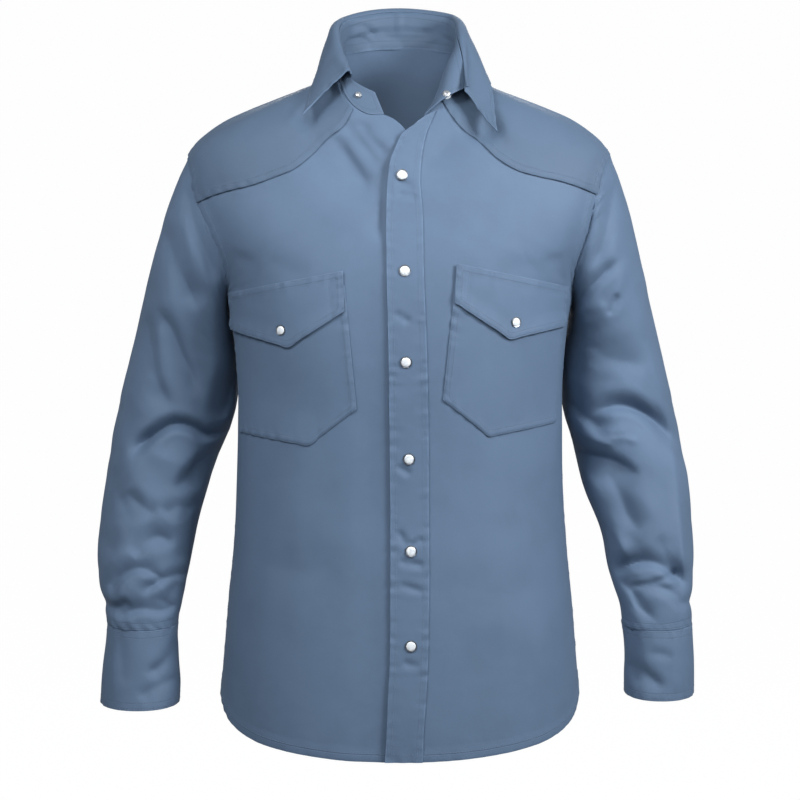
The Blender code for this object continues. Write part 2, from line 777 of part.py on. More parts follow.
class Tube:
    """A sleeve's or cuff's sections, read from its table."""

    def __init__(self, side, rows):
        self.side = side
        self.sign = SIGN[side]
        self.outer, self.inner, self.middle, self.deep = (
            read(SLEEVE_COLUMNS, rows, name) for name in SLEEVE_COLUMNS[1:]
        )
        self.slope = Curve((CUFF_SEAM_Z, CAP_BOTTOM_Z), (CUFF_SLOPE, 0.0))

    def point(self, around, z, sink=0.0):
        """Around is 0 at the front, 90 on the outer side, 180 at the back."""
        sine, cosine = math.sin(math.radians(around)), math.cos(math.radians(around))
        power = 2 / SLEEVE_ROUNDNESS
        across = math.copysign(abs(sine) ** power, sine)
        ahead = math.copysign(abs(cosine) ** power, cosine)
        centre = (self.outer(z) + self.inner(z)) / 2
        wide = (self.outer(z) - self.inner(z)) / 2
        x = self.sign * (centre + (wide - sink) * across)
        y = -(self.deep(z) - sink) * ahead
        return np.array([x, self.middle(z) + y, z + self.slope(z) * y])

    def folded(self, around, z):
        """The point with the folds sunk in, which fade out towards the sleeve's sides."""
        plain = self.point(around, z)
        facing = math.cos(math.radians(around))
        face = "front" if facing > 0 else "back"
        weight = eased(abs(facing) / FOLD_FADE)
        return self.point(around, z, weight * fold_shift(self.side, face, plain[0], plain[2]))


def sleeve_ring(side):
    """The armhole all round, with the sleeve's own angle at each point, from its top over the front."""
    front, back = front_arm_points(side), back_arm_points(side)
    ring = []
    for points, turn in ((front, -180.0), (back, 180.0)):
        spots = [on_form(*point) for point in points]
        lengths = np.cumsum([0.0] + [np.linalg.norm(b - a) for a, b in zip(spots, spots[1:])])
        shares = lengths / lengths[-1]
        ring.append([(90.0 + turn * share, point) for share, point in zip(shares, points)])
    return ring[0] + ring[1][-2:0:-1]


def sleeve_start(side, ring):
    """The sleeve's first row, just past the body's edge, with its outer face level with the body's or over."""
    spots = [on_form(*point) for around, point in ring]
    centre = sum(spots) / len(spots)
    row = []
    for (around, point), spot in zip(ring, spots):
        normal = form_normal(*point)
        past = centre - spot
        past -= normal * float(past @ normal)
        past /= np.linalg.norm(past)
        under = (1 - math.sin(math.radians(around))) / 2
        rise = WALL + UNDERARM_RISE * under
        row.append(spot + past * SEAM_GAP + normal * rise)
    return row


def build_sleeve(side):
    tube = Tube(side, SLEEVE[side])
    ring = sleeve_ring(side)
    first = sleeve_start(side, ring)
    columns = []
    for (around, point), start in zip(ring, first):
        end = tube.folded(around, CAP_BOTTOM_Z)
        below = tube.folded(around, CAP_BOTTOM_Z - 20)
        chord = np.linalg.norm(end - start)
        turn = -CAP_TURN_FORWARD * math.cos(math.radians(around))
        leave = np.array([tube.sign * CAP_TURN_OUT, turn, -CAP_TURN_DOWN])
        leave *= CAP_LEAVE * chord / np.linalg.norm(leave)
        arrive = (below - end) * CAP_ARRIVE * chord / np.linalg.norm(below - end)
        column = []
        for r in range(CAP_ROWS):
            t = r / CAP_ROWS
            place = start * (2 * t**3 - 3 * t**2 + 1) + end * (3 * t**2 - 2 * t**3)
            place = place + leave * (t**3 - 2 * t**2 + t) + arrive * (t**3 - t**2)
            column.append(place)
        for z in np.linspace(CAP_BOTTOM_Z, CUFF_SEAM_Z + SEAM_GAP, SLEEVE_ROWS + 1):
            column.append(tube.folded(around, z))
        columns.append(column)
    if side == "left":
        columns = columns[::-1]
    grid = [list(row) for row in zip(*columns)]
    make_sheet(f"sleeve_{side}", grid, WALL, grow=-1, ring=True)
    return grid


def build_cuff(side):
    """A strip round the wrist whose end laps over its start, where the snap closes it."""
    tube = Tube(side, CUFF[side])
    steps = round(360 / CUFF_STEP) + CUFF_OVERLAP_STEPS
    lapped = CUFF_WALL + LAYER_GAP
    bottom = CUFF[side][0][0]
    columns = []
    for step in range(steps + 1):
        sink = lapped * (1 - eased((step - CUFF_OVERLAP_STEPS) / CUFF_EASE_STEPS))
        around = CUFF_OPENING + CUFF_STEP * (step - CUFF_OVERLAP_STEPS / 2)
        heights = np.linspace(CUFF_SEAM_Z, bottom, CUFF_ROWS + 1)
        columns.append([tube.point(around, z, sink) for z in heights])
    if side == "right":
        columns = columns[::-1]
    grid = [list(row) for row in zip(*columns)]
    make_sheet(f"cuff_{side}", grid, CUFF_WALL, grow=-1)


def grid_normals(grid):
    """The outward direction at each point of a grid whose rows run down and columns left to right."""
    normals = []
    for r, row in enumerate(grid):
        line = []
        for c in range(len(row)):
            down = grid[min(r + 1, len(grid) - 1)][c] - grid[max(r - 1, 0)][c]
            across = row[min(c + 1, len(row) - 1)] - row[max(c - 1, 0)]
            normal = np.cross(down, across)
            line.append(normal / np.linalg.norm(normal))
        normals.append(line)
    return normals


def build_sleeve_placket(side, grid):
    """The strip over the sleeve's slit, above the cuff's opening, made from the sleeve's own points."""
    tube = Tube(side, SLEEVE[side])
    rows = [row for row in grid if row[0][2] < CUFF_SEAM_Z + SLEEVE_SLIT]
    goal = tube.point(CUFF_OPENING, CUFF_SEAM_Z)
    middle = min(range(len(rows[-1])), key=lambda c: np.linalg.norm(rows[-1][c] - goal))
    strip = []
    for row in rows:
        before, here, after = row[middle - 1], row[middle], row[(middle + 1) % len(row)]
        line = []
        for neighbour in (before, after):
            step = neighbour - here
            share = min(1.0, SLEEVE_SLIT_WIDTH / 2 / np.linalg.norm(step))
            line.append(here + share * step)
        strip.append([line[0], here, line[1]])
    normals = grid_normals(strip)
    lifted = [
        [point + PLACKET_GAP * normal for point, normal in zip(line, directions)]
        for line, directions in zip(strip, normals)
    ]
    make_sheet(f"sleeve_placket_{side}", lifted, WALL)


class Collar:
    """The stand and leaf, read from the table by station."""

    def __init__(self):
        stations = range(len(COLLAR))
        self.columns = {
            name: Curve(stations, [row[c] for row in COLLAR])
            for c, name in enumerate(COLLAR_COLUMNS)
        }
        self.station = Curve([row[0] for row in COLLAR], stations)

    def spot(self, part, station):
        return np.array([self.columns[f"{part}_{axis}"](station) for axis in "xyz"])

    def foot(self, angle):
        """Where the stand meets the neck seam."""
        folded = angle if angle <= 180 else angle - 360
        out = WALL + (under_drop(folded) if folded < 0 else 0.0)
        z = neck_height(folded)
        step = on_form(folded, z + 2) - on_form(folded, z)
        return body(folded, z, out) + STAND_GAP * step / np.linalg.norm(step)

    def stand(self, angle, share):
        """A point of the stand's outer face, from its top (share 0) to the neck seam (share 1)."""
        station = self.station(angle - 360)
        top, foot = self.spot("top", station), self.foot(angle)
        ahead = self.spot("top", station - STAND_AHEAD) - self.spot("top", station + STAND_AHEAD)
        inwards = np.cross(top - foot, ahead)
        inwards /= np.linalg.norm(inwards)
        curve = self.columns["curve"](station) * math.sin(math.pi * share)
        return top + (foot - top) * share + curve * inwards

    def directions(self, angle):
        """Up along the stand, and outwards from it."""
        up = self.stand(angle, 0) - self.stand(angle, STAND_TOP_SHARE)
        ahead = self.stand(min(angle + 2, STAND_SPAN[1]), 0)
        behind = self.stand(max(angle - 2, STAND_SPAN[0]), 0)
        away = np.cross(ahead - behind, up)
        return up / np.linalg.norm(up), away / np.linalg.norm(away)


def stand_angles():
    left = [angle for angle, z in front_neck_points("left")][::-1]
    back = [angle for angle, z in back_neck_points()]
    right = [360 + angle for angle, z in front_neck_points("right")]
    return left + back[1:-1] + right


def build_collar():
    collar = Collar()
    angles = stand_angles()
    shares = np.linspace(0, 1, STAND_ROWS + 1)
    stand = [[collar.stand(angle, share) for angle in angles] for share in shares]
    make_sheet("collar_stand", stand, STAND_WALL, grow=-1)

    columns = []
    for angle in angles[:-ROWS_NECK]:
        top, edge = collar.stand(angle, 0), collar.spot("leaf", collar.station(angle - 360))
        up, away = collar.directions(angle)
        column = [top + out * away + rise * up for out, rise in ROLL]
        start = column[-1]
        for r in range(1, LEAF_ROWS + 1):
            t = r / LEAF_ROWS
            column.append(start + (edge - start) * t + away * LEAF_SWELL * math.sin(math.pi * t))
        columns.append(column)
    make_sheet("collar_leaf", [list(row) for row in zip(*columns)], LEAF_WALL)
    return stand


def build_snap(name, place, facing, diameter, height, kind="pearl", lift=LAYER_GAP):
    """A turned cap with a flat base, which stands on the cloth at place and faces away from it."""
    profile = [(x * diameter / 2 * MM, 0, z * height * MM) for x, z in CAP_PROFILE]
    mesh = bpy.data.meshes.new(name)
    mesh.from_pydata(profile, [(i, i + 1) for i in range(len(profile) - 1)], [])
    mesh.materials.append(finish(name, kind))
    item = bpy.data.objects.new(name, mesh)
    PARTS.objects.link(item)
    turn = item.modifiers.new("turn", "SCREW")
    turn.axis = "Z"
    turn.steps = turn.render_steps = SNAP_SIDES
    turn.use_merge_vertices = True
    turn.merge_threshold = 0.00001
    direction = Vector(facing).normalized()
    item.location = Vector(place * MM) + direction * lift * MM
    item.rotation_mode = "QUATERNION"
    item.rotation_quaternion = direction.to_track_quat("Z", "Y")


def tube_facing(tube, around, z):
    sideways = tube.point(around + 2, z) - tube.point(around - 2, z)
    upwards = tube.point(around, z + 2) - tube.point(around, z - 2)
    return np.cross(sideways, upwards) * tube.sign


def build_snaps(stand):
    on_placket = 2 * WALL + PLACKET_GAP
    for number, (x, z) in enumerate(FRONT_SNAPS, 1):
        facing = on_front(x, z, 10) - on_front(x, z, 0)
        place = on_front(x, z, on_placket)
        build_snap(f"front_snap_{number}", place, facing, SNAP_DIAMETER, SNAP_HEIGHT)
    for side in ("left", "right"):
        x, z = pocket_corners(side)["snap"]
        facing = on_front(x, z, 10) - on_front(x, z, 0)
        place = on_front(x, z, 3 * WALL + 2 * LAYER_GAP)
        build_snap(f"flap_snap_{side}", place, facing, FLAP_SNAP_DIAMETER, SNAP_HEIGHT)
        tube = Tube(side, CUFF[side])
        z = CUFF_SEAM_Z + (CUFF[side][0][0] - CUFF_SEAM_Z) * CUFF_SNAP_DROP
        facing = tube_facing(tube, CUFF_OPENING, z)
        place = tube.point(CUFF_OPENING, z)
        build_snap(f"cuff_snap_{side}", place, facing, SNAP_DIAMETER, SNAP_HEIGHT)
    for name, column, row, face, lift, diameter, height, kind in COLLAR_SNAPS:
        corners = [stand[row + r][column + c] for r in (0, 1) for c in (0, 1)]
        facing = np.cross(corners[2] - corners[1], corners[3] - corners[0])
        facing /= np.linalg.norm(facing)
        place = sum(corners) / 4
        if face == "inside":
            place, facing = place - STAND_WALL * facing, -facing
        build_snap(name, place, facing, diameter, height, kind, lift)


clear_scene()
build_fronts_and_yokes()
build_back()
build_placket()
for wearer_side in ("left", "right"):
    build_pocket(wearer_side)
    build_sleeve_placket(wearer_side, build_sleeve(wearer_side))
    build_cuff(wearer_side)
build_snaps(build_collar())
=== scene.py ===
"""The looks of a western work shirt in slate-blue twill, filled out as it is worn.

Metres, +Z up. The front faces -Y, and left and right are the wearer's own. A row in a table of folds is in
millimetres: its height, its widths left and right of its line, and the line's points as seen from one side.
"""

import json
import math

import bmesh
import bpy
import numpy as np
from mathutils import Matrix, Vector, noise
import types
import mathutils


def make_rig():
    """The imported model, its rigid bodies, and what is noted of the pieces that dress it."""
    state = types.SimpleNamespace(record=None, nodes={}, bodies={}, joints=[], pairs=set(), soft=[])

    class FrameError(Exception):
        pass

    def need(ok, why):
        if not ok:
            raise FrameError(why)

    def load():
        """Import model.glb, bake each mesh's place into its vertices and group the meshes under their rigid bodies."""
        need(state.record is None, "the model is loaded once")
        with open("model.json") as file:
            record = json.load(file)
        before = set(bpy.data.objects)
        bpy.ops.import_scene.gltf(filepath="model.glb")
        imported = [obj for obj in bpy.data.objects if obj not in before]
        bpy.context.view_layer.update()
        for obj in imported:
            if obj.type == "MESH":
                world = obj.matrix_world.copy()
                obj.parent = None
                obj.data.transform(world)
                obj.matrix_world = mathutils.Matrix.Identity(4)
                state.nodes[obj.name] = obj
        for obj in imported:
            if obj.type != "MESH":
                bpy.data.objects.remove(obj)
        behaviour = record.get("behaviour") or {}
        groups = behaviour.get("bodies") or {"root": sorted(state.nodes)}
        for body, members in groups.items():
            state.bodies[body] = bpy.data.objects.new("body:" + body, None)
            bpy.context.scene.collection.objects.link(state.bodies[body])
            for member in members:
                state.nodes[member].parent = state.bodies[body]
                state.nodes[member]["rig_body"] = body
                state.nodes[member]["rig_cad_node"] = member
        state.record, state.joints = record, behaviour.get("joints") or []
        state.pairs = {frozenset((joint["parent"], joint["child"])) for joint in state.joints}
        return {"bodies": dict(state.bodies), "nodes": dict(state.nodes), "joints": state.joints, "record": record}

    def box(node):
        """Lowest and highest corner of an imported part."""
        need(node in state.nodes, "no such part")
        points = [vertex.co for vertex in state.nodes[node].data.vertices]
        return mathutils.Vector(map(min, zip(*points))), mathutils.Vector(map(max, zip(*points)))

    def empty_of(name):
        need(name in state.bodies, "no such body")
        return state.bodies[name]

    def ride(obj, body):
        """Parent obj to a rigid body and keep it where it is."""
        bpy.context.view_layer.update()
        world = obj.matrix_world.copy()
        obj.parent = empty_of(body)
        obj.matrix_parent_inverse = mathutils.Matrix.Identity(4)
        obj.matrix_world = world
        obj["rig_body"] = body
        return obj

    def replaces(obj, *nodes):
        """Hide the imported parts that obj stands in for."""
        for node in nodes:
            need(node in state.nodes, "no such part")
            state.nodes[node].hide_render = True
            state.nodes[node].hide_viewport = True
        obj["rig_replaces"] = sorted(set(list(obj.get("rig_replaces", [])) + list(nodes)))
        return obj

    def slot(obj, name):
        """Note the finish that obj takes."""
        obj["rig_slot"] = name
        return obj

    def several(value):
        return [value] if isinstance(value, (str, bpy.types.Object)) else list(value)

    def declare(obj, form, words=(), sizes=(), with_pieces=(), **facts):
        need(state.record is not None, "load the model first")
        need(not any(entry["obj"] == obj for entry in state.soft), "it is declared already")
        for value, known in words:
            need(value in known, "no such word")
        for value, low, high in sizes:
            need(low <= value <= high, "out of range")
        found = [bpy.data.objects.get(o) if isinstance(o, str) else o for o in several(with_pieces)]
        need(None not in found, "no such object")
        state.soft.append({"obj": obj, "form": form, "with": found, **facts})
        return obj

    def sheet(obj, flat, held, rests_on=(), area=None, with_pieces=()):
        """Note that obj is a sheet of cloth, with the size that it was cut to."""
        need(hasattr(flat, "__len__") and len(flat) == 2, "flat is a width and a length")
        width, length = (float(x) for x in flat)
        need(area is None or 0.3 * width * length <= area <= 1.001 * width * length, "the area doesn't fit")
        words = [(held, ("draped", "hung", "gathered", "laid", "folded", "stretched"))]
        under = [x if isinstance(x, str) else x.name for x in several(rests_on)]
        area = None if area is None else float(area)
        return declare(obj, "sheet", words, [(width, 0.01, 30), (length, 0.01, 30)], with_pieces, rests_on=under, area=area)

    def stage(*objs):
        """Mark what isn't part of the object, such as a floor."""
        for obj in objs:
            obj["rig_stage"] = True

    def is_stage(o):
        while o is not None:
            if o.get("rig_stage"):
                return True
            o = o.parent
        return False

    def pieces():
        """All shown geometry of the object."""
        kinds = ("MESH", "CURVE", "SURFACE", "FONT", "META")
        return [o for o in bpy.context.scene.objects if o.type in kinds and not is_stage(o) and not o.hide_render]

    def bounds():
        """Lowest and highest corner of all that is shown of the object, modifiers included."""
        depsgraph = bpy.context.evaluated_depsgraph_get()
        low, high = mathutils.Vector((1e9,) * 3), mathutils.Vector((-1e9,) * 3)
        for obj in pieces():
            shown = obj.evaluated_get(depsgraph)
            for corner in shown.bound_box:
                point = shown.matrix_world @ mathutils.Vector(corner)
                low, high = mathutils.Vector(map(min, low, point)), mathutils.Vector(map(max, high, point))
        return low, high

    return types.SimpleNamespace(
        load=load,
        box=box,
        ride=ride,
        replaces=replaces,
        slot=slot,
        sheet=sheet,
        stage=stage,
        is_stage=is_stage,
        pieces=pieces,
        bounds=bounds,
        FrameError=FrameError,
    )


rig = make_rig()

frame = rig.load()
cad_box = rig.bounds()
MM = 0.001


# The studio
# A round, pale room with a floor well below the shirt, and soft lights high in front, at both sides, behind
# and, faintly, inside the neck. The camera looks a little down at the shirt's middle from three metres away.
CAMERA_PLACE = Vector((0.0, -3.0, -0.2))
CAMERA_AIM = Vector((0.0, 0.0, -0.341))
FRAME_WIDTH = 0.88
SENSOR_MM = 36.0
# A light's row holds its name, its place, the point that it aims at, its width and its watts.
LIGHTS = (
    ("chest_light", (0.05, -1.30, 0.40), (0.0, 0.0, -0.25), 0.6, 5.2),
    ("left_light", (1.27, -0.99, 0.54), (0.12, 0.0, -0.25), 0.6, 35.0),
    ("right_light", (-0.80, -1.20, 0.78), (-0.15, 0.0, -0.20), 0.6, 18.0),
    ("back_light", (0.1, 2.6, 0.65), (0.0, 0.0, -0.3), 1.4, 32.0),
    ("neck_light", (0.0, -0.03, -0.17), (0.0, 0.10, 0.0), 0.1, 0.09),
)
SURROUND = (0.90, 0.94, 1.0)
SURROUND_STRENGTH = 0.26
ROOM_RADIUS = 7.0
ROOM_FLOOR = -1.45
ROOM_HEIGHT = 9.0
ROOM_ROUND = 2.0
ROOM_SIDES = 96
ROOM_BASE = (0.05, 0.05, 0.05, 1.0)
ROOM_WHITE = (0.97, 0.97, 0.97, 1.0)

camera_data = bpy.data.cameras.new("camera")
camera_data.sensor_width = SENSOR_MM
camera_data.lens = SENSOR_MM * (CAMERA_AIM - CAMERA_PLACE).length / FRAME_WIDTH
camera = bpy.data.objects.new("camera", camera_data)
camera.location = CAMERA_PLACE
camera.rotation_euler = (CAMERA_AIM - CAMERA_PLACE).to_track_quat("-Z", "Y").to_euler()
bpy.context.collection.objects.link(camera)
bpy.context.scene.camera = camera
bpy.context.scene.view_settings.view_transform = "Standard"

for name, place, aim, size, watts in LIGHTS:
    light = bpy.data.lights.new(name, "AREA")
    light.size = size
    light.energy = watts
    lamp = bpy.data.objects.new(name, light)
    lamp.location = place
    lamp.visible_camera = False
    lamp.rotation_euler = (Vector(aim) - Vector(place)).to_track_quat("-Z", "Y").to_euler()
    bpy.context.collection.objects.link(lamp)

world = bpy.data.worlds.new("surround")
world.use_nodes = True
world.node_tree.nodes["Background"].inputs["Color"].default_value = (*SURROUND, 1.0)
world.node_tree.nodes["Background"].inputs["Strength"].default_value = SURROUND_STRENGTH
bpy.context.scene.world = world

bpy.ops.object.select_all(action="DESELECT")
bpy.ops.mesh.primitive_cylinder_add(
    vertices=ROOM_SIDES, radius=ROOM_RADIUS, depth=ROOM_HEIGHT, location=(0, 0, ROOM_FLOOR + ROOM_HEIGHT / 2))
room = bpy.context.object
room.name = "room"
bpy.ops.object.transform_apply()
bpy.ops.object.mode_set(mode="EDIT")
bpy.ops.mesh.select_mode(type="EDGE")
bpy.ops.mesh.select_all(action="DESELECT")
walls = bmesh.from_edit_mesh(room.data)
for edge in walls.edges:
    edge.select_set(all(corner.co.z < ROOM_FLOOR + ROOM_HEIGHT / 2 for corner in edge.verts))
bmesh.update_edit_mesh(room.data)
bpy.ops.mesh.bevel(offset=ROOM_ROUND, segments=16)
bpy.ops.mesh.select_all(action="SELECT")
bpy.ops.mesh.flip_normals()
bpy.ops.object.mode_set(mode="OBJECT")
bpy.ops.object.shade_smooth()
room.visible_diffuse = room.visible_glossy = room.visible_shadow = False
pale = bpy.data.materials.new("pale_room")
pale.use_nodes = True
plaster = pale.node_tree.nodes["Principled BSDF"].inputs
plaster["Base Color"].default_value = ROOM_BASE
plaster["Roughness"].default_value = 1.0
plaster["Emission Color"].default_value = ROOM_WHITE
plaster["Emission Strength"].default_value = 1.0
room.data.materials.append(pale)
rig.stage(room)


# The fronts
# Two panels of smooth twill from the shoulder seam to a shirt-tail hem, the wearer's left over the right.
# The side seams are felled with a row of stitches, and the hem is turned up and stitched.
CLOTH_WALL = 1.1 * MM
CLOTH_STEP = 3.4 * MM
LEAST_LENGTH = 0.01 * MM
RIM_EDGE = 2.3 * MM
RIM_ROUND = 0.3 * MM
RIM_ANGLE = math.radians(60)
# A piece's corners are the two ends of its solid's top edge.
FRONT_CORNERS = {
    "left": ((0.063, -0.013, 0.033), (0.226, -0.028, -0.074)),
    "right": ((-0.228, -0.017, -0.074), (-0.063, -0.014, 0.030)),
}
# A cut is a piece's flat width, length and area.
FRONT_CUT = (0.31, 0.80, 0.21)
HEM_DEPTH = 10.0 * MM
HEM_ROW = 8.5 * MM
SEAM_DEPTH = 8.0 * MM
SEAM_ROW = 7.0 * MM
SEAM_GROOVE = 7.5 * MM
SEAM_RISE = 0.5 * MM
SEAM_BLEND = 1.8 * MM
ARMHOLE_REACH = 60.0 * MM
TUCK_REACH = 4.0 * MM
TUCK_DROP = 2.2 * MM
PRESS_REACH = 0.5 * MM
PUCKER = 2.0 * MM
PUCKER_REACH = 9.0 * MM
PUCKER_PITCH = 7.5 * MM
SAG = 0.9 * MM
SAG_PITCH = 75.0 * MM
TWILL_BASE = (0.098, 0.152, 0.238)
# Painted shade: a darker copy of the twill's colour for the front yokes and the collar, which lie in shadow round the
# neck.
TWILL_PAINTED_SHADE = (0.081, 0.126, 0.196)
TWILL_SHEEN = (0.75, 0.86, 1.0, 1.0)
TWILL_PITCH = 0.8 * MM
SLUB_SCALE = 850.0
DYE_SCALE = 9.0
WEAR_SCALE = 46.0
THREAD_SCALE = 1500.0
THREAD_BASE = (0.092, 0.142, 0.222)
STITCH_PITCH = 3.2 * MM
STITCH_LENGTH = 2.4 * MM
STITCH_RADIUS = 0.24 * MM
STITCH_FLAT = 0.8
STITCH_SIDES = 6
# A stitch's ring is a place along its length, and a width and a lift as shares of its radius.
STITCH_RINGS = ((-0.5, 0.35, -0.6), (-0.36, 1.0, 0.1), (0.36, 1.0, 0.1), (0.5, 0.35, -0.6))
FRONT = Vector((0, -1, 0))
BACK = Vector((0, 1, 0))
FOLD_SHARP = 1.6
FOLD_FADE = 0.22
FOLD_UNEVEN = 0.2
FOLD_BULGE = 0.13
FOLD_BESIDE = 2.0
FOLD_BESIDE_WIDTH = 0.9
FOLD_LINE_STEP = 4.0 * MM
TURNED_AWAY = -0.5
TURNING = 0.4
TORSO_FOLDS = (
    (-2.6, 15, 12, ((-171, -175), (-181, -200), (-188, -226))),
    (-2.4, 13, 15, ((168, -178), (176, -200), (184, -228))),
    (-4.5, 8, 6, ((-64, -32), (-44, -58), (-20, -86))),
    (-3.6, 7, 8, ((-76, -46), (-56, -76), (-32, -112))),
    (-3.2, 6, 5, ((-46, -32), (-30, -56), (-10, -76))),
    (-6.0, 20, 22, ((-108, -46), (-74, -72), (-46, -98), (-18, -128))),
    (-3.5, 16, 18, ((12, -94), (36, -76), (60, -52), (86, -34))),
    (-8.0, 14, 16, ((-64, 8), (-82, -12), (-100, -27), (-118, -40))),
    (-9.0, 16, 12, ((56, 6), (76, -16), (92, -38), (106, -60))),
    (-1.5, 20, 16, ((-150, -182), (-128, -196), (-96, -202))),
    (-1.3, 18, 15, ((150, -186), (126, -198), (100, -203))),
    (-1.2, 26, 22, ((-165, -330), (-120, -352), (-76, -360))),
    (-1.1, 22, 26, ((162, -350), (118, -372), (82, -378))),
    (-1.4, 24, 20, ((-175, -505), (-120, -528), (-60, -522))),
    (-1.2, 22, 22, ((172, -540), (120, -556), (64, -548))),
    (1.3, 24, 26, ((-128, -420), (-112, -520), (-116, -620))),
    (1.2, 26, 24, ((120, -430), (112, -530), (118, -630))),
    (-2.0, 4, 4, ((-6, -103), (4, -104), (16, -108))),
    (-1.6, 4, 4, ((-4, -115), (6, -115), (19, -119))),
    (-1.6, 4, 4, ((-7, -246), (2, -250), (12, -257))),
    (-1.9, 4, 4, ((-5, -413), (3, -418), (13, -424))),
    (-1.9, 4, 4, ((-3, -484), (2, -493), (8, -504))),
    (-1.7, 3, 4, ((10, -502), (17, -499), (26, -494))),
    (-1.9, 4, 4, ((-3, -519), (12, -522), (28, -524))),
    (-1.7, 4, 4, ((-2, -545), (12, -549), (28, -554))),
    (-1.6, 4, 4, ((2, -630), (10, -634), (24, -636))),
)
PLACKET_SHADOW = (
    (1.3, 5, 14, ((-4, -60), (-12, -95), (-14, -140), (-12, -300), (-9.5, -500), (-10.5, -660),
                  (-14, -780))),
    (-3.0, 6, 13, ((-8, -72), (-15, -102), (-18, -134), (-17, -172))),
)


def solid_sides(node):
    """A cloth solid's points and the triangles of its sides. The triangles of its rim have short edges."""
    shape = bmesh.new()
    shape.from_mesh(frame["nodes"][node].data)
    bmesh.ops.remove_doubles(shape, verts=shape.verts, dist=LEAST_LENGTH)
    shape.verts.index_update()
    free = {face for face in shape.faces if min(edge.calc_length() for edge in face.edges) > RIM_EDGE}
    sides = []
    while free:
        side, queue = [], [free.pop()]
        while queue:
            face = queue.pop()
            side.append([corner.index for corner in face.verts])
            for edge in face.edges:
                for other in edge.link_faces:
                    if other in free:
                        free.remove(other)
                        queue.append(other)
        sides.append(side)
    points = np.array([corner.co for corner in shape.verts])
    shape.free()
    return points, sorted(sides, key=len)[-2:]


def solid_rows(node, first, last=None):
    """The rows of points that one side of a cloth solid was made from, from its top edge down.

    The top edge runs from the corner near first to the one near last, with the side facing out, or once
    round the outside of a tube from the point near first."""
    points, sides = solid_sides(node)
    tries = []
    for triangles in sides:
        across = {}
        for a, b, c in triangles:
            across[a, b], across[b, c], across[c, a] = c, a, b
        behind = {b: a for a, b in across if (b, a) not in across}
        start = min(behind, key=lambda v: np.linalg.norm(points[v] - np.array(first)))
        stop = start if last is None else min(
            behind, key=lambda v: np.linalg.norm(points[v] - np.array(last)))
        row = [start, behind[start]]
        while row[-1] != stop and len(row) <= len(behind):
            row.append(behind[row[-1]])
        reach = np.linalg.norm(points[row] - points[row].mean(axis=0), axis=1).mean()
        tries.append((-reach if last is None else len(row), row, across, behind))
    row, across, behind = min(tries, key=lambda found: found[0])[1:]
    ahead = {a: b for b, a in behind.items()}
    rows, taken = [row], set(row)
    while (row[1], row[0]) in across:
        if last is None:
            row = next(line for line in rows_below(across, row, taken) if line[-1] == line[0])
        else:
            row = line_below(across, row, ahead[row[0]])
        rows.append(row)
        taken.update(row)
    return points[np.array(rows)]


def line_below(across, row, start):
    """The row below a known one, from its first point on: each next point lies across an edge of the row."""
    line = [start]
    for a, b in zip(row, row[1:]):
        spot = across[b, a]
        if spot == line[-1]:
            spot = across[b, spot]
        line.append(spot)
    return line


def rows_below(across, row, taken):
    """On a tube, each row that may follow, from a neighbour below the first point. The true one closes."""
    spot, found = across[row[1], row[0]], []
    while spot not in found:
        if spot not in taken:
            found.append(spot)
        elif found:
            break
        spot = across[spot, row[0]]
    for start in found:
        try:
            yield line_below(across, row, start)
        except KeyError:
            continue


def smooth_lines(points, step):
    """Smooth curves along the first axis through the points, cut about every step."""
    chords = np.diff(points, axis=0)
    lengths = np.maximum(np.linalg.norm(chords, axis=2, keepdims=True), LEAST_LENGTH)
    slopes = chords / lengths
    inner = (slopes[:-1] * lengths[1:] + slopes[1:] * lengths[:-1]) / (lengths[:-1] + lengths[1:])
    slopes = np.concatenate([slopes[:1], inner, slopes[-1:]])
    cut = []
    for i, mean in enumerate(lengths.mean(axis=(1, 2))):
        count = max(1, round(mean / step))
        for t in np.arange(count) / count:
            start = points[i] * (2 * t**3 - 3 * t**2 + 1) + points[i + 1] * (3 * t**2 - 2 * t**3)
            bend = slopes[i] * (t**3 - 2 * t**2 + t) + slopes[i + 1] * (t**3 - t**2)
            cut.append(start + bend * lengths[i])
    cut.append(points[-1])
    return np.array(cut)


def eased(t):
    """Goes smoothly from 0 to 1 as t does."""
    t = np.clip(t, 0.0, 1.0)
    return t * t * (3 - 2 * t)


def distances(line):
    """Each point's distance along a line from its start."""
    return np.concatenate([[0.0], np.cumsum(np.linalg.norm(np.diff(line, axis=0), axis=1))])


def seen_flat(points, facing):
    """Where points lie as the camera sees them, on the plane y = 0, or straight from behind or a side."""
    if facing.y > 0:
        return points[:, (0, 2)]
    if facing.y == 0:
        return points[:, (1, 2)]
    nearer = CAMERA_PLACE.y / (CAMERA_PLACE.y - points[:, 1])
    height = (points[:, 2] - CAMERA_PLACE.z) * nearer + CAMERA_PLACE.z
    return np.stack([points[:, 0] * nearer, height], axis=1)


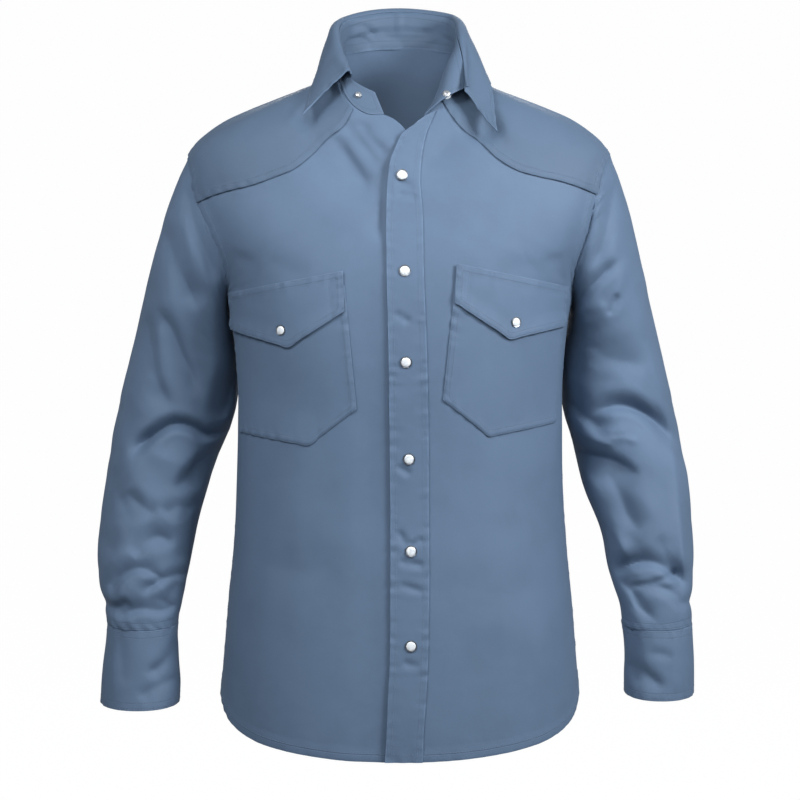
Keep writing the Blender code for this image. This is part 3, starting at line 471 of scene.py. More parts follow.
class Cloth:
    """A sheet of cloth on its solid's outer side: a fine grid of points, with rows from the top edge down.

    With inside, it is measured from the solid's inner side, and stands that far out from it."""

    def __init__(self, node, first, last=None, step=CLOTH_STEP, soften=0, inside=0.0):
        coarse = solid_rows(node, last, first)[:, ::-1] if inside else solid_rows(node, first, last)
        self.node, self.tube, self.sewn = node, last is None, ()
        for _ in range(soften):
            coarse[1:-1] = (coarse[:-2] + 2 * coarse[1:-1] + coarse[2:]) / 4
        lines = smooth_lines(coarse, step).transpose(1, 0, 2)
        if self.tube:
            # The rows run on past their join at both ends, so that they are smooth there too.
            lap = lines[-4:-1], lines, lines[1:4]
            fine = smooth_lines(np.concatenate(lap), step)
            half = len(fine) // 2
            gaps = np.linalg.norm(fine[:, 0] - lines[0, 0], axis=1)
            fine = fine[gaps[:half].argmin():half + gaps[half:].argmin() + 1]
            fine[-1] = fine[0]
        else:
            fine = smooth_lines(lines, step)
        self.points = fine.transpose(1, 0, 2).copy()
        self.measure()
        if inside:
            self.push(inside)

    def measure(self):
        """Each point's distance along its row and down its column, as the cloth lies."""
        along, down = (np.linalg.norm(np.diff(self.points, axis=axis), axis=2) for axis in (1, 0))
        self.u = np.pad(np.cumsum(along, axis=1), ((0, 0), (1, 0)))
        self.v = np.pad(np.cumsum(down, axis=0), ((1, 0), (0, 0)))
        self.from_edge = {
            "left": self.u,
            "right": self.u[:, -1:] - self.u,
            "top": self.v,
            "bottom": self.v[-1:] - self.v,
        }

    def tuck(self, edge, reach=TUCK_REACH, drop=TUCK_DROP):
        """Lengthens the cloth at a seam and sinks that strip under the piece that it is sewn to."""
        turned = edge in ("left", "right")
        last = edge in ("right", "bottom")
        points, normals = self.points, self.normals()
        if turned:
            points, normals = points.transpose(1, 0, 2), normals.transpose(1, 0, 2)
        if last:
            points, normals = points[::-1], normals[::-1]
        out = points[:1] - points[1:2]
        out /= np.linalg.norm(out, axis=2, keepdims=True)
        strips = [points[:1] + out * reach * t - normals[:1] * drop * eased(t) for t in (1.0, 0.5)]
        points = np.concatenate([*strips, points])
        points = points[::-1] if last else points
        self.points = points.transpose(1, 0, 2).copy() if turned else points.copy()
        self.measure()
        self.from_edge[edge] = np.maximum(self.from_edge[edge] - reach - drop / 2, 0)

    def normals(self):
        """The way that the cloth faces at each point."""
        points = self.points
        if self.tube:
            points = np.concatenate([points[:, -2:-1], points, points[:, 1:2]], axis=1)
        normals = np.cross(np.gradient(points, axis=0), np.gradient(points, axis=1))
        normals = normals[:, 1:-1] if self.tube else normals
        return normals / np.maximum(np.linalg.norm(normals, axis=2, keepdims=True), 1e-12)

    def push(self, amount):
        """Moves the points out by an amount each."""
        self.points = self.points + self.normals() * np.asarray(amount)[..., None]

    def fold(self, rows, facing=FRONT):
        """Troughs and ridges along lines drawn as they are seen from one side.

        Each fades at its ends, and where the cloth turns away from that side."""
        points, normals = self.points.reshape(-1, 3), self.normals().reshape(-1, 3)
        flat = seen_flat(points, facing)
        total, pick = np.zeros(len(points)), np.arange(len(points))
        for k, (height, left, right, line) in enumerate(rows):
            line = smooth_lines(np.array(line, dtype=float)[:, None, :] * MM, FOLD_LINE_STEP)[:, 0]
            chords = np.diff(line, axis=0)
            lengths = np.linalg.norm(chords, axis=1)
            away = flat[:, None, :] - line[:-1]
            share = np.clip((away * chords).sum(axis=2) / lengths**2, 0, 1)
            away = away - share[..., None] * chords
            near = np.linalg.norm(away, axis=2).argmin(axis=1)
            away, chord = away[pick, near], chords[near]
            on_left = chord[:, 0] * away[:, 1] > chord[:, 1] * away[:, 0]
            far = np.linalg.norm(away, axis=1) / (np.where(on_left, left, right) * MM)
            t = (np.cumsum(lengths)[near] - (1 - share[pick, near]) * lengths[near]) / lengths.sum()
            fade = eased(t / FOLD_FADE) * eased((1 - t) / FOLD_FADE)
            fade *= 1 + FOLD_UNEVEN * np.sin(9 * t + 1.7 * k)
            beside = np.exp(-((far - FOLD_BESIDE) / FOLD_BESIDE_WIDTH) ** 2)
            beside *= FOLD_BULGE * np.where(on_left, left, right) / max(left, right)
            total += height * MM * fade * (np.exp(-far**FOLD_SHARP) - beside)
        total *= eased((normals @ np.array(facing) - TURNED_AWAY) / TURNING)
        self.points = self.points + total.reshape(*self.u.shape, 1) * np.array(facing)

    def settle(self):
        """Soft unevenness all over, and small uneven puckers that run square to the sewn edges."""
        sags = [SAG * noise.noise(Vector(point) / SAG_PITCH) for point in self.points.reshape(-1, 3)]
        amount = np.reshape(sags, self.u.shape)
        for edge in self.sewn:
            along = self.v if edge in ("left", "right") else self.u
            away = self.from_edge[edge]
            puckers = np.zeros(along.size)
            for k, (far, near) in enumerate(zip(along.flat, away.flat)):
                if near < 3 * PUCKER_REACH:
                    place = Vector((far / PUCKER_PITCH, near / (4 * PUCKER_PITCH), len(edge)))
                    puckers[k] = noise.noise(place) * (0.35 + abs(noise.noise(place / 6)))
            amount = amount + PUCKER * puckers.reshape(along.shape) * np.exp(-(away / PUCKER_REACH) ** 2)
        self.push(amount)

    def thicken(self, edge, depth=SEAM_DEPTH, rise=SEAM_RISE):
        """Lifts a strip along an edge, where the cloth is turned in and lies double."""
        self.push(rise * (1 - eased((self.from_edge[edge] - depth) / SEAM_BLEND)))

    def press(self, edges, drop):
        """Presses the very edge down onto the cloth below."""
        away = np.min([self.from_edge[edge] for edge in edges], axis=0)
        self.push(-drop * (away < PRESS_REACH))

    def seam_line(self, edge, inset, start, stop):
        """A line on the cloth at a distance in from an edge, cut short at both ends, and its normals."""
        away, points, normals = self.from_edge[edge], self.points, self.normals()
        if edge in ("top", "bottom"):
            away, points, normals = away.T, points.transpose(1, 0, 2), normals.transpose(1, 0, 2)
        if edge in ("right", "bottom"):
            away, points, normals = away[:, ::-1], points[:, ::-1], normals[:, ::-1]
        line, facing = (
            np.array([[np.interp(inset, far, row[:, k]) for k in range(3)] for far, row in zip(away, values)])
            for values in (points, normals))
        along = distances(line)
        keep = (along >= start) & (along <= along[-1] - stop)
        return line[keep], facing[keep]

    def seam_lines(self, edges, insets, start=None, stop=None):
        """Lines for stitches in from some edges, each cut short by its inset, or by the lengths given."""
        pairs = [(edge, inset) for edge in edges for inset in insets]
        return [self.seam_line(edge, inset, start or inset, stop or inset) for edge, inset in pairs]

    def build(self, name, material, cut, wall=CLOTH_WALL):
        """Makes the piece, with a wall of its own and a rounded rim, in place of its solid."""
        rows, columns = self.points.shape[:2]
        used = columns - 1 if self.tube else columns
        grid = np.arange(rows * used).reshape(rows, used)
        if self.tube:
            grid = np.concatenate([grid, grid[:, :1]], axis=1)
        corners = ((slice(None, -1), slice(None, -1)), (slice(1, None), slice(None, -1)),
                   (slice(1, None), slice(1, None)), (slice(None, -1), slice(1, None)))
        faces = np.stack([grid[corner] for corner in corners], axis=-1).reshape(-1, 4)
        mesh = bpy.data.meshes.new(name)
        mesh.from_pydata(self.points[:, :used].reshape(-1, 3).tolist(), [], faces.tolist())
        mesh.uv_layers.new(name="cloth")
        middle = self.u[:, columns // 2, None]
        uv = np.stack([self.u - middle, -self.v], axis=-1)
        uv = np.stack([uv[corner] for corner in corners], axis=-2).reshape(-1)
        mesh.uv_layers["cloth"].data.foreach_set("uv", uv)
        near = np.min([self.from_edge[side] for side in self.sewn], axis=0)
        edge = mesh.attributes.new("edge", "FLOAT", "POINT")
        edge.data.foreach_set("value", near[:, :used].reshape(-1).astype(np.float32))
        mesh.materials.append(material)
        piece = bpy.data.objects.new(name, mesh)
        bpy.context.collection.objects.link(piece)
        bpy.ops.object.select_all(action="DESELECT")
        piece.select_set(True)
        bpy.context.view_layer.objects.active = piece
        thick = piece.modifiers.new("wall", "SOLIDIFY")
        thick.thickness = wall
        thick.offset = -1
        bpy.ops.object.modifier_apply(modifier="wall")
        rounded = piece.modifiers.new("rim", "BEVEL")
        rounded.width = RIM_ROUND
        rounded.segments = 2
        rounded.limit_method = "ANGLE"
        rounded.angle_limit = RIM_ANGLE
        bpy.ops.object.modifier_apply(modifier="rim")
        bpy.ops.object.shade_smooth()
        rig.ride(piece, "root")
        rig.replaces(piece, self.node)
        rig.slot(piece, "twill")
        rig.sheet(piece, flat=cut[:2], held="draped", rests_on=(), area=cut[2])


class Value:
    """A number in a material, so that shader maths reads as plain sums."""

    def __init__(self, shade, socket):
        self.shade, self.socket = shade, socket

    def __add__(self, other):
        return self.shade.maths("ADD", self, other)

    def __sub__(self, other):
        return self.shade.maths("SUBTRACT", self, other)

    def __rsub__(self, other):
        return self.shade.maths("SUBTRACT", other, self)

    def __mul__(self, other):
        return self.shade.maths("MULTIPLY", self, other)

    __radd__, __rmul__ = __add__, __mul__


class Shade:
    """A material built from nodes."""

    def __init__(self, name, **constants):
        self.material = bpy.data.materials.new(name)
        self.material.use_nodes = True
        self.tree = self.material.node_tree
        self.surface = self.tree.nodes["Principled BSDF"]
        for socket, value in constants.items():
            self.surface.inputs[socket.replace("_", " ").title()].default_value = value

    def node(self, kind, settings, sockets, output=0):
        """Adds a node with its settings and the values or links of its sockets, and gives one output."""
        node = self.tree.nodes.new(kind)
        for name, value in settings.items():
            setattr(node, name, value)
        for name, value in sockets.items():
            if isinstance(value, Value):
                self.tree.links.new(value.socket, node.inputs[name])
            else:
                node.inputs[name].default_value = value
        return Value(self, node.outputs[output])

    def maths(self, operation, *values):
        return self.node("ShaderNodeMath", {"operation": operation}, dict(enumerate(values)))

    def feed(self, socket, value):
        self.tree.links.new(value.socket, self.surface.inputs[socket])

    def place(self):
        """Where a point lies on the finished piece."""
        return self.node("ShaderNodeTexCoord", {}, {}, 3)

    def noise(self, where, scale, detail=2.0):
        return self.node("ShaderNodeTexNoise", {}, {"Vector": where, "Scale": scale, "Detail": detail})

    def mix(self, share, first, second):
        settings = {"data_type": "RGBA"}
        return self.node("ShaderNodeMix", settings, {"Factor": share, 6: first, 7: second}, 2)

    def step(self, value, low, high):
        """Goes smoothly from 0 at low to 1 at high."""
        settings = {"interpolation_type": "SMOOTHSTEP"}
        sockets = {"Value": value, "From Min": low, "From Max": high, "To Min": 0.0, "To Max": 1.0}
        return self.node("ShaderNodeMapRange", settings, sockets)

    def bump(self, height, distance, strength, under=None):
        sockets = {"Height": height, "Distance": distance, "Strength": strength}
        if under is not None:
            sockets["Normal"] = under
        return self.node("ShaderNodeBump", {}, sockets)


def tone(colour, share):
    """A darker or lighter tone of a colour."""
    return (*(c * share for c in colour), 1.0)


def twill(name, base=TWILL_BASE, stitched=(), worn=0.30):
    """Fine twill: a diagonal rib, a soft sheen, uneven dye, rubbed edges, and dents along its stitch rows, darkened
    with painted shade.
    """
    shade = Shade(name, metallic=0.0, sheen_weight=0.05, sheen_roughness=0.45, sheen_tint=TWILL_SHEEN)
    shade.surface.inputs["Specular IOR Level"].default_value = 0.22
    place = shade.place()
    cloth = shade.node("ShaderNodeUVMap", {"uv_map": "cloth"}, {})
    across = shade.node("ShaderNodeSeparateXYZ", {}, {0: cloth})
    along = Value(shade, across.socket.node.outputs[1])
    turn = 2 * math.pi / TWILL_PITCH
    rib = shade.maths("SINE", (across + along) * turn)
    weft = shade.maths("SINE", (across - along * 0.6) * (turn * 1.9))
    slub = shade.noise(cloth, SLUB_SCALE)
    weave = rib * 0.5 + weft * 0.2 + slub * 0.5
    dye = shade.noise(place, DYE_SCALE)
    wear = shade.noise(place, WEAR_SCALE, 4.0)
    colour = shade.mix(shade.step(dye, 0.35, 0.65), tone(base, 0.95), tone(base, 1.05))
    colour = shade.mix(shade.step(wear, 0.3, 0.8) * 0.30, colour, tone(base, 1.16))
    colour = shade.mix(shade.step(weave, -0.4, 0.9) * 0.35 + 0.65, tone(base, 0.80), colour)
    edge = shade.node("ShaderNodeAttribute", {"attribute_name": "edge"}, {}, 2)
    rubbed = (1 - shade.step(edge, 0.2 * MM, 1.8 * MM)) * shade.step(wear, 0.35, 0.6)
    colour = shade.mix(rubbed * worn, colour, tone(base, 1.5))
    # Each stitch row is a dent in the bump and a darker line in the colour: painted shade in the dent.
    stitch_dent_and_shade = 0.0
    for inset in stitched:
        near = shade.maths("ABSOLUTE", edge - inset)
        stitch_dent_and_shade = stitch_dent_and_shade + (1 - shade.step(near, 0.1 * MM, 0.9 * MM))
    colour = shade.mix(stitch_dent_and_shade * 0.30, colour, tone(base, 0.66))
    shade.feed("Base Color", colour)
    shade.feed("Roughness", wear * 0.12 + 0.54)
    dents = shade.bump(wear, 1.2 * MM, 0.35)
    lines = shade.bump(1 - stitch_dent_and_shade, 0.30 * MM, 0.5, dents)
    shade.feed("Normal", shade.bump(weave, 0.12 * MM, 0.35, lines))
    return shade.material


def stitches(name, runs, material):
    """Rows of stitches along runs, each stitch a small flattened bar that dips into the cloth at its ends."""
    bar, bar_faces = [], []
    for spot, wide, lift in STITCH_RINGS:
        for angle in np.linspace(0, 2 * math.pi, STITCH_SIDES, endpoint=False):
            bar.append((spot * STITCH_LENGTH, wide * math.cos(angle) * STITCH_RADIUS,
                        (STITCH_FLAT * wide * math.sin(angle) + lift) * STITCH_RADIUS))
    for ring in range(0, len(bar) - STITCH_SIDES, STITCH_SIDES):
        for k in range(STITCH_SIDES):
            here, after = ring + k, ring + (k + 1) % STITCH_SIDES
            bar_faces.append((here, after, after + STITCH_SIDES, here + STITCH_SIDES))
    bar_faces.append(tuple(range(STITCH_SIDES - 1, -1, -1)))
    bar_faces.append(tuple(range(len(bar) - STITCH_SIDES, len(bar))))
    bar = np.array(bar)
    vertices, faces = [], []
    for line, facing in runs:
        along = distances(line)
        for middle in np.arange(STITCH_PITCH / 2, along[-1] - STITCH_PITCH / 2, STITCH_PITCH):
            spot, ahead, out = (
                np.array([np.interp(at, along, values[:, k]) for k in range(3)])
                for at, values in ((middle, line), (middle + STITCH_PITCH / 3, line), (middle, facing)))
            ahead = ahead - spot
            ahead /= np.linalg.norm(ahead)
            beside = np.cross(out, ahead)
            beside /= np.linalg.norm(beside)
            start = len(bar) * len(vertices)
            vertices.append(spot + bar @ np.stack([ahead, beside, np.cross(ahead, beside)]))
            faces.extend(tuple(start + k for k in face) for face in bar_faces)
    mesh = bpy.data.meshes.new(name)
    mesh.from_pydata(np.concatenate(vertices).tolist(), [], faces)
    mesh.shade_smooth()
    mesh.materials.append(material)
    piece = bpy.data.objects.new(name, mesh)
    bpy.context.collection.objects.link(piece)
    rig.ride(piece, "root")
    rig.slot(piece, "twill")


thread_shade = Shade("thread", roughness=0.55, sheen_weight=0.2)
thread_twist = thread_shade.noise(thread_shade.place(), THREAD_SCALE)
thread_tones = tone(THREAD_BASE, 0.8), tone(THREAD_BASE, 1.2)
thread_shade.feed("Base Color", thread_shade.mix(thread_twist, *thread_tones))
thread = thread_shade.material
front_twill = twill("front_twill", stitched=(SEAM_GROOVE,), worn=0.10)
for side, (first, last) in FRONT_CORNERS.items():
    front = Cloth(f"front_{side}", first, last)
    outer = "right" if side == "left" else "left"
    front.sewn = ("bottom", outer)
    front.fold(TORSO_FOLDS + (PLACKET_SHADOW if side == "right" else ()))
    front.settle()
    front.thicken("bottom", HEM_DEPTH)
    front.thicken(outer)
    rows = front.seam_lines(["bottom"], [HEM_ROW], 4 * MM, 4 * MM)
    rows += front.seam_lines([outer], [SEAM_ROW], ARMHOLE_REACH, 8 * MM)
    front.tuck(outer)
    front.tuck("top")
    front.build(f"front_panel_{side}", front_twill, FRONT_CUT)
    stitches(f"front_stitches_{side}", rows, thread)


# The front yokes
# A pointed western yoke on each front, laid over the panel and sewn down along its lower and outer edges.
YOKE_CORNERS = {
    "left": ((0.065, -0.014, 0.032), (0.227, -0.028, -0.073)),
    "right": ((-0.230, -0.018, -0.073), (-0.066, -0.014, 0.028)),
}
YOKE_CUT = (0.185, 0.165, 0.0225)
YOKE_RISE = 0.35 * MM
YOKE_PRESS = 0.5 * MM
SMALL_STEP = 2.6 * MM
LAID_WALL = 0.8 * MM
# The front yokes take the darker twill colour: painted shade.
yoke_twill = twill("yoke_twill", TWILL_PAINTED_SHADE, (SEAM_GROOVE,), 0.10)
for side, (first, last) in YOKE_CORNERS.items():
    yoke = Cloth(f"front_yoke_{side}", first, last, step=SMALL_STEP)
    outer = "right" if side == "left" else "left"
    yoke.sewn = ("bottom", outer)
    yoke.fold(TORSO_FOLDS)
    yoke.settle()
    yoke.thicken("bottom", rise=YOKE_RISE)
    yoke.thicken(outer)
    rows = yoke.seam_lines(["bottom", outer], [SEAM_GROOVE], 1 * MM, 8 * MM)
    yoke.press(["bottom"], YOKE_PRESS)
    yoke.build(f"front_yoke_panel_{side}", yoke_twill, YOKE_CUT, LAID_WALL)
    stitches(f"front_yoke_stitches_{side}", rows, thread)


# The front placket
# A straight strip down the left front's edge, sewn along both its sides, which holds the snaps.
PLACKET_CORNERS = ((0.027, -0.082, -0.035), (0.039, -0.079, -0.029))
PLACKET_CUT = (0.045, 0.74, 0.0300)
PLACKET_EDGE = 1.5 * MM
PLACKET_ROW = 6.0 * MM
FINE_STEP = 2.4 * MM
placket = Cloth("front_placket", *PLACKET_CORNERS, step=FINE_STEP)
placket.sewn = ("left", "right", "bottom")
placket.fold(TORSO_FOLDS)
placket.settle()
placket.thicken("left", PLACKET_EDGE)
placket.build("placket_strip", twill("placket_twill", worn=0.5), PLACKET_CUT)
rows = placket.seam_lines(["left", "right"], [PLACKET_ROW], 5 * MM, 4 * MM)
rows += placket.seam_lines(["bottom"], [HEM_ROW], 7 * MM, 7 * MM)
stitches("placket_stitches", rows, thread)


# The back and its yoke
# One wide panel below a plain yoke that goes over both shoulders. The yoke is sewn down with two rows.
BACK_CORNERS = ((0.222, 0.050, -0.118), (-0.222, 0.050, -0.118))
BACK_CUT = (0.52, 0.66, 0.305)
BACK_YOKE_CORNERS = ((0.226, -0.027, -0.074), (-0.228, -0.017, -0.074))
BACK_YOKE_CUT = (0.50, 0.25, 0.105)
BACK_STEP = 3.8 * MM
EDGE_ROWS = (2.0 * MM, 8.0 * MM)
BACK_FOLDS = (
    (-5.0, 18, 15, ((-176, -150), (-164, -230), (-148, -330))),
    (-4.6, 15, 18, ((174, -150), (160, -240), (146, -340))),
    (-3.4, 11, 14, ((-186, -206), (-150, -226), (-108, -230))),
    (-3.0, 14, 11, ((188, -214), (150, -236), (102, -238))),
    (-4.0, 15, 18, ((-104, -326), (-46, -356), (16, -350), (78, -330))),
    (-3.4, 14, 17, ((-72, -398), (-4, -422), (72, -402))),
    (-2.6, 13, 15, ((-150, -452), (-96, -478), (-30, -474))),
    (-2.4, 15, 13, ((30, -520), (96, -540), (154, -528))),
    (3.4, 24, 28, ((-74, -430), (-62, -540), (-70, -660))),
    (3.0, 28, 24, ((64, -420), (54, -540), (66, -670))),
)
back_twill = twill("back_twill", stitched=EDGE_ROWS[1:])
back = Cloth("back", *BACK_CORNERS, step=BACK_STEP)
back.sewn = ("bottom", "left", "right")
back.fold(BACK_FOLDS, BACK)
back.settle()
back.thicken("bottom", HEM_DEPTH)
rows = back.seam_lines(["bottom"], [HEM_ROW], 4 * MM, 4 * MM)
rows += back.seam_lines(["left", "right"], EDGE_ROWS, 2 * MM, 2 * MM)
for edge in ("left", "right", "top"):
    back.tuck(edge)
back.build("back_panel", back_twill, BACK_CUT)
stitches("back_stitches", rows, thread)
back_yoke = Cloth("back_yoke", *BACK_YOKE_CORNERS)
back_yoke.sewn = ("bottom",)
back_yoke.settle()
back_yoke.thicken("bottom", rise=YOKE_RISE)
rows = back_yoke.seam_lines(["bottom"], EDGE_ROWS, 1 * MM, 1 * MM)
back_yoke.tuck("left")
back_yoke.tuck("right")
back_yoke.build("back_yoke_panel", back_twill, BACK_YOKE_CUT)
stitches("back_yoke_stitches", rows, thread)


# The pockets and their flaps
# A pointed patch pocket on each front, sewn round three sides with two rows, under a flap with a snap.
POCKET_CORNERS = {
    "left": ((0.058, -0.130, -0.206), (0.177, -0.063, -0.229)),
    "right": ((-0.181, -0.051, -0.236), (-0.058, -0.131, -0.214)),
}
POCKET_CUT = (0.155, 0.180, 0.0255)
POCKET_ROWS = (1.6 * MM, 6.6 * MM)
POCKET_TURN = 6.5 * MM
POCKET_RISE = 0.3 * MM
POCKET_PRESS = 0.6 * MM
FLAP_CORNERS = {
    "left": ((0.059, -0.130, -0.192), (0.180, -0.066, -0.216)),
    "right": ((-0.184, -0.054, -0.223), (-0.060, -0.131, -0.199)),
}
FLAP_CUT = (0.155, 0.075, 0.0095)
FLAP_RISE = 0.4 * MM
FLAP_LIFT = 1.6 * MM
FLAP_LIFT_REACH = 22.0 * MM
FLAP_INNER_DROP = 0.3 * MM
FLAP_INNER_REACH = 12.0 * MM
FLAP_POINT_SHIFT = 8.0 * MM
PENCIL_SLOT = 15.0 * MM
PENCIL_SLOT_DENT = 0.5 * MM
PENCIL_SLOT_WIDTH = 2.2 * MM
pocket_twill = twill("pocket_twill", stitched=POCKET_ROWS)
# The cloth that each snap is pressed through, by the snap's name
carriers = {}
for side in ("left", "right"):
    pocket = Cloth(f"pocket_{side}", *POCKET_CORNERS[side], step=SMALL_STEP)
    pocket.sewn = ("left", "right", "bottom")
    pocket.fold(TORSO_FOLDS)
    pocket.settle()
    for edge in pocket.sewn:
        pocket.thicken(edge, POCKET_TURN, POCKET_RISE)
    pocket.press(pocket.sewn, POCKET_PRESS)
    pocket.build(f"pocket_patch_{side}", pocket_twill, POCKET_CUT, LAID_WALL)
    rows = pocket.seam_lines(["left", "right"], POCKET_ROWS, 1 * MM)
    rows += pocket.seam_lines(["bottom"], POCKET_ROWS)
    stitches(f"pocket_stitches_{side}", rows, thread)
    flap = Cloth(f"pocket_flap_{side}", *FLAP_CORNERS[side], step=SMALL_STEP)
    flap.sewn = ("left", "right", "bottom", "top")
    # The flap's point lies nearer to the middle of the shirt than its solid's does.
    inner, inwards = ("left", -1) if side == "left" else ("right", 1)
    columns, point = flap.points.shape[1], flap.points[-1, :, 2].argmin()
    spread = np.interp(np.arange(columns), (0, point, columns - 1), (0, 1, 0))
    spread = spread * flap.v / flap.v[-1:]
    along = np.gradient(flap.points[0], axis=0)
    along /= np.linalg.norm(along, axis=1, keepdims=True)
    flap.points = flap.points + inwards * FLAP_POINT_SHIFT * spread[..., None] * along
    flap.measure()
    flap.fold(TORSO_FOLDS)
    flap.settle()
    for edge in flap.sewn:
        flap.thicken(edge, POCKET_TURN, FLAP_RISE)
    flap.push(FLAP_LIFT * (1 - eased(flap.from_edge["bottom"] / FLAP_LIFT_REACH)))
    flap.push(-FLAP_INNER_DROP * (1 - eased(flap.from_edge[inner] / FLAP_INNER_REACH)))
    from_slot = (flap.from_edge[inner] - PENCIL_SLOT) / PENCIL_SLOT_WIDTH
    flap.push(-PENCIL_SLOT_DENT * np.exp(-from_slot**2))
    flap.build(f"pocket_flap_piece_{side}", pocket_twill, FLAP_CUT)
    rows = flap.seam_lines(["left", "right"], POCKET_ROWS, 2 * MM)
    rows += flap.seam_lines(["bottom", "top"], POCKET_ROWS)
    rows += flap.seam_lines([inner], [PENCIL_SLOT], 7 * MM, 7 * MM)
    stitches(f"pocket_flap_stitches_{side}", rows, thread)
    carriers[f"flap_snap_{side}"] = flap


# The sleeves and their plackets
# A one-piece sleeve set into the armhole, bent at the elbow, with a short placket above the cuff's opening.
SLEEVE_FIRST = {"left": (0.228, -0.002, -0.067), "right": (-0.230, -0.017, -0.074)}
SLEEVE_CUT = (0.44, 0.56, 0.20)
SLEEVE_PLACKET_CORNERS = {
    "left": ((0.312, 0.051, -0.479), (0.291, 0.065, -0.477)),
    "right": ((-0.302, 0.065, -0.477), (-0.322, 0.050, -0.479)),
}
SLEEVE_PLACKET_CUT = (0.030, 0.12, 0.0032)
SLEEVE_STEP = 2.7 * MM
SLEEVE_ROWS = (2.0 * MM, 8.5 * MM)
ARMHOLE_EDGE = 0.6 * MM
ARMHOLE_SINK = 1.4 * MM
CUFF_TUCK_REACH = 5.0 * MM
CUFF_TUCK_DROP = 4.5 * MM
SLEEVE_FOLDS = {"right": (
    (-6.5, 11, 12, ((-262, -140), (-252, -172), (-238, -206), (-222, -244))),
    (-4.5, 8, 7, ((-236, -99), (-226, -145), (-213, -181), (-199, -219))),
    (-6.5, 6, 14, ((-272, -236), (-254, -258), (-240, -292), (-220, -340))),
    (-7.0, 7, 18, ((-281, -235), (-274, -285), (-265, -325), (-252, -354))),
    (-13.0, 7, 5, ((-300, -408), (-284, -390), (-268, -377), (-249, -368), (-231, -371), (-215, -379),
                   (-195, -377), (-160, -357))),
    (-17.0, 12, 10, ((-183, -220), (-182, -262), (-184, -305), (-192, -345), (-204, -378))),
    (3.0, 14, 14, ((-282, -394), (-262, -404), (-236, -414), (-218, -422))),
    (-11.0, 5, 20, ((-250, -446), (-240, -430), (-225, -412), (-206, -398), (-170, -372))),
    (-4.0, 10, 10, ((-222, -440), (-228, -464), (-234, -496), (-240, -530))),
    (-4.0, 12, 12, ((-322, -410), (-309, -450), (-294, -482))),
    (-3.6, 8, 9, ((-304, -440), (-285, -458), (-268, -470))),
    (-3.6, 8, 9, ((-262, -470), (-245, -458), (-226, -464))),
    (-5.0, 10, 6, ((-296, -516), (-279, -498), (-268, -493), (-246, -504))),
    (-4.0, 12, 12, ((-338, -466), (-328, -494), (-312, -514))),
    (-7.0, 10, 4.5, ((-324, -562), (-308, -537), (-290, -528), (-260, -539))),
    (-6.5, 6, 4.5, ((-287, -558), (-266, -541), (-250, -535), (-231, -532), (-206, -529))),
    (-3.0, 8, 8, ((-264, -570), (-252, -552), (-243, -538))),
    (-4.2, 5, 6, ((-340, -556), (-318, -571), (-297, -562))),
    (-7.0, 12, 4.5, ((-320, -588), (-302, -577), (-286, -573), (-262, -574), (-242, -564))),
), "left": (
    (-6.0, 6.5, 5.5, ((166, -254), (192, -237), (212, -215), (228, -198), (241, -184))),
    (-4.5, 8, 8, ((212, -202), (224, -165), (233, -120), (240, -86))),
    (2.0, 6, 6, ((228, -84), (219, -118), (212, -150), (204, -192))),
    (-4.0, 8, 8, ((212, -128), (203, -160), (195, -190), (188, -222))),
    (2.5, 10, 12, ((184, -240), (206, -243), (230, -236))),
    (-3.2, 3.5, 4.5, ((228, -248), (234, -239), (239, -222))),
    (1.6, 6, 6, ((235, -234), (244, -208), (249, -184))),
    (-6.0, 13, 8, ((178, -240), (182, -266), (184, -290), (182, -322))),
    (-5.0, 18, 16, ((186, -254), (222, -290), (252, -300), (278, -304))),
    (-11.0, 9, 5, ((206, -357), (227, -350), (248, -348), (268, -356), (288, -373), (309, -398))),
    (-10.0, 12, 9, ((160, -322), (180, -338), (202, -356), (232, -380))),
    (1.6, 4, 4, ((226, -385), (246, -383), (264, -388))),
    (1.4, 4, 4, ((216, -372), (236, -376), (252, -372))),
    (6.0, 8, 7, ((170, -362), (190, -372), (212, -384), (242, -393))),
    (-11.0, 5, 16, ((160, -374), (193, -396), (212, -403), (234, -408), (266, -427))),
    (4.5, 8, 7, ((201, -410), (214, -447), (229, -477), (256, -524))),
    (-6.5, 12, 9, ((226, -414), (243, -445), (254, -470), (268, -492))),
    (-5.0, 10, 10, ((214, -472), (224, -506), (232, -538))),
    (-8.0, 10, 5, ((228, -543), (255, -523), (279, -521), (306, -536), (320, -550))),
    (-2.6, 3.5, 3.5, ((250, -549), (279, -543), (314, -530))),
    (-5.5, 9, 6, ((236, -535), (257, -553), (268, -572), (286, -588))),
    (-3.5, 6, 6, ((264, -555), (284, -548), (302, -555), (320, -574))),
    (-3.0, 10, 8, ((284, -486), (298, -522), (318, -560))),
    (4.5, 9, 6, ((270, -270), (290, -340), (304, -420), (310, -490), (316, -560), (320, -590))),
)}
SLEEVE_BACK_FOLDS = {"right": (
    (-6.5, 13, 11, ((-238, -130), (-252, -176), (-270, -226))),
    (-8.5, 11, 14, ((-226, -290), (-252, -322), (-290, -330))),
    (-7.5, 9, 12, ((-214, -352), (-246, -372), (-300, -366))),
    (-6.0, 11, 11, ((-300, -404), (-272, -424), (-240, -420))),
    (-5.0, 12, 11, ((-312, -440), (-304, -482), (-282, -516))),
    (-4.5, 8, 6, ((-318, -552), (-290, -540), (-250, -548))),
), "left": (
    (-6.5, 11, 13, ((238, -126), (254, -172), (268, -232))),
    (-8.5, 14, 11, ((222, -284), (250, -316), (288, -322))),
    (-7.5, 12, 9, ((212, -346), (244, -362), (296, -358))),
    (-6.0, 11, 11, ((298, -398), (268, -420), (234, -414))),
    (-5.0, 11, 12, ((308, -446), (296, -490), (272, -520))),
    (-4.5, 6, 8, ((314, -546), (286, -534), (252, -545))),
)}
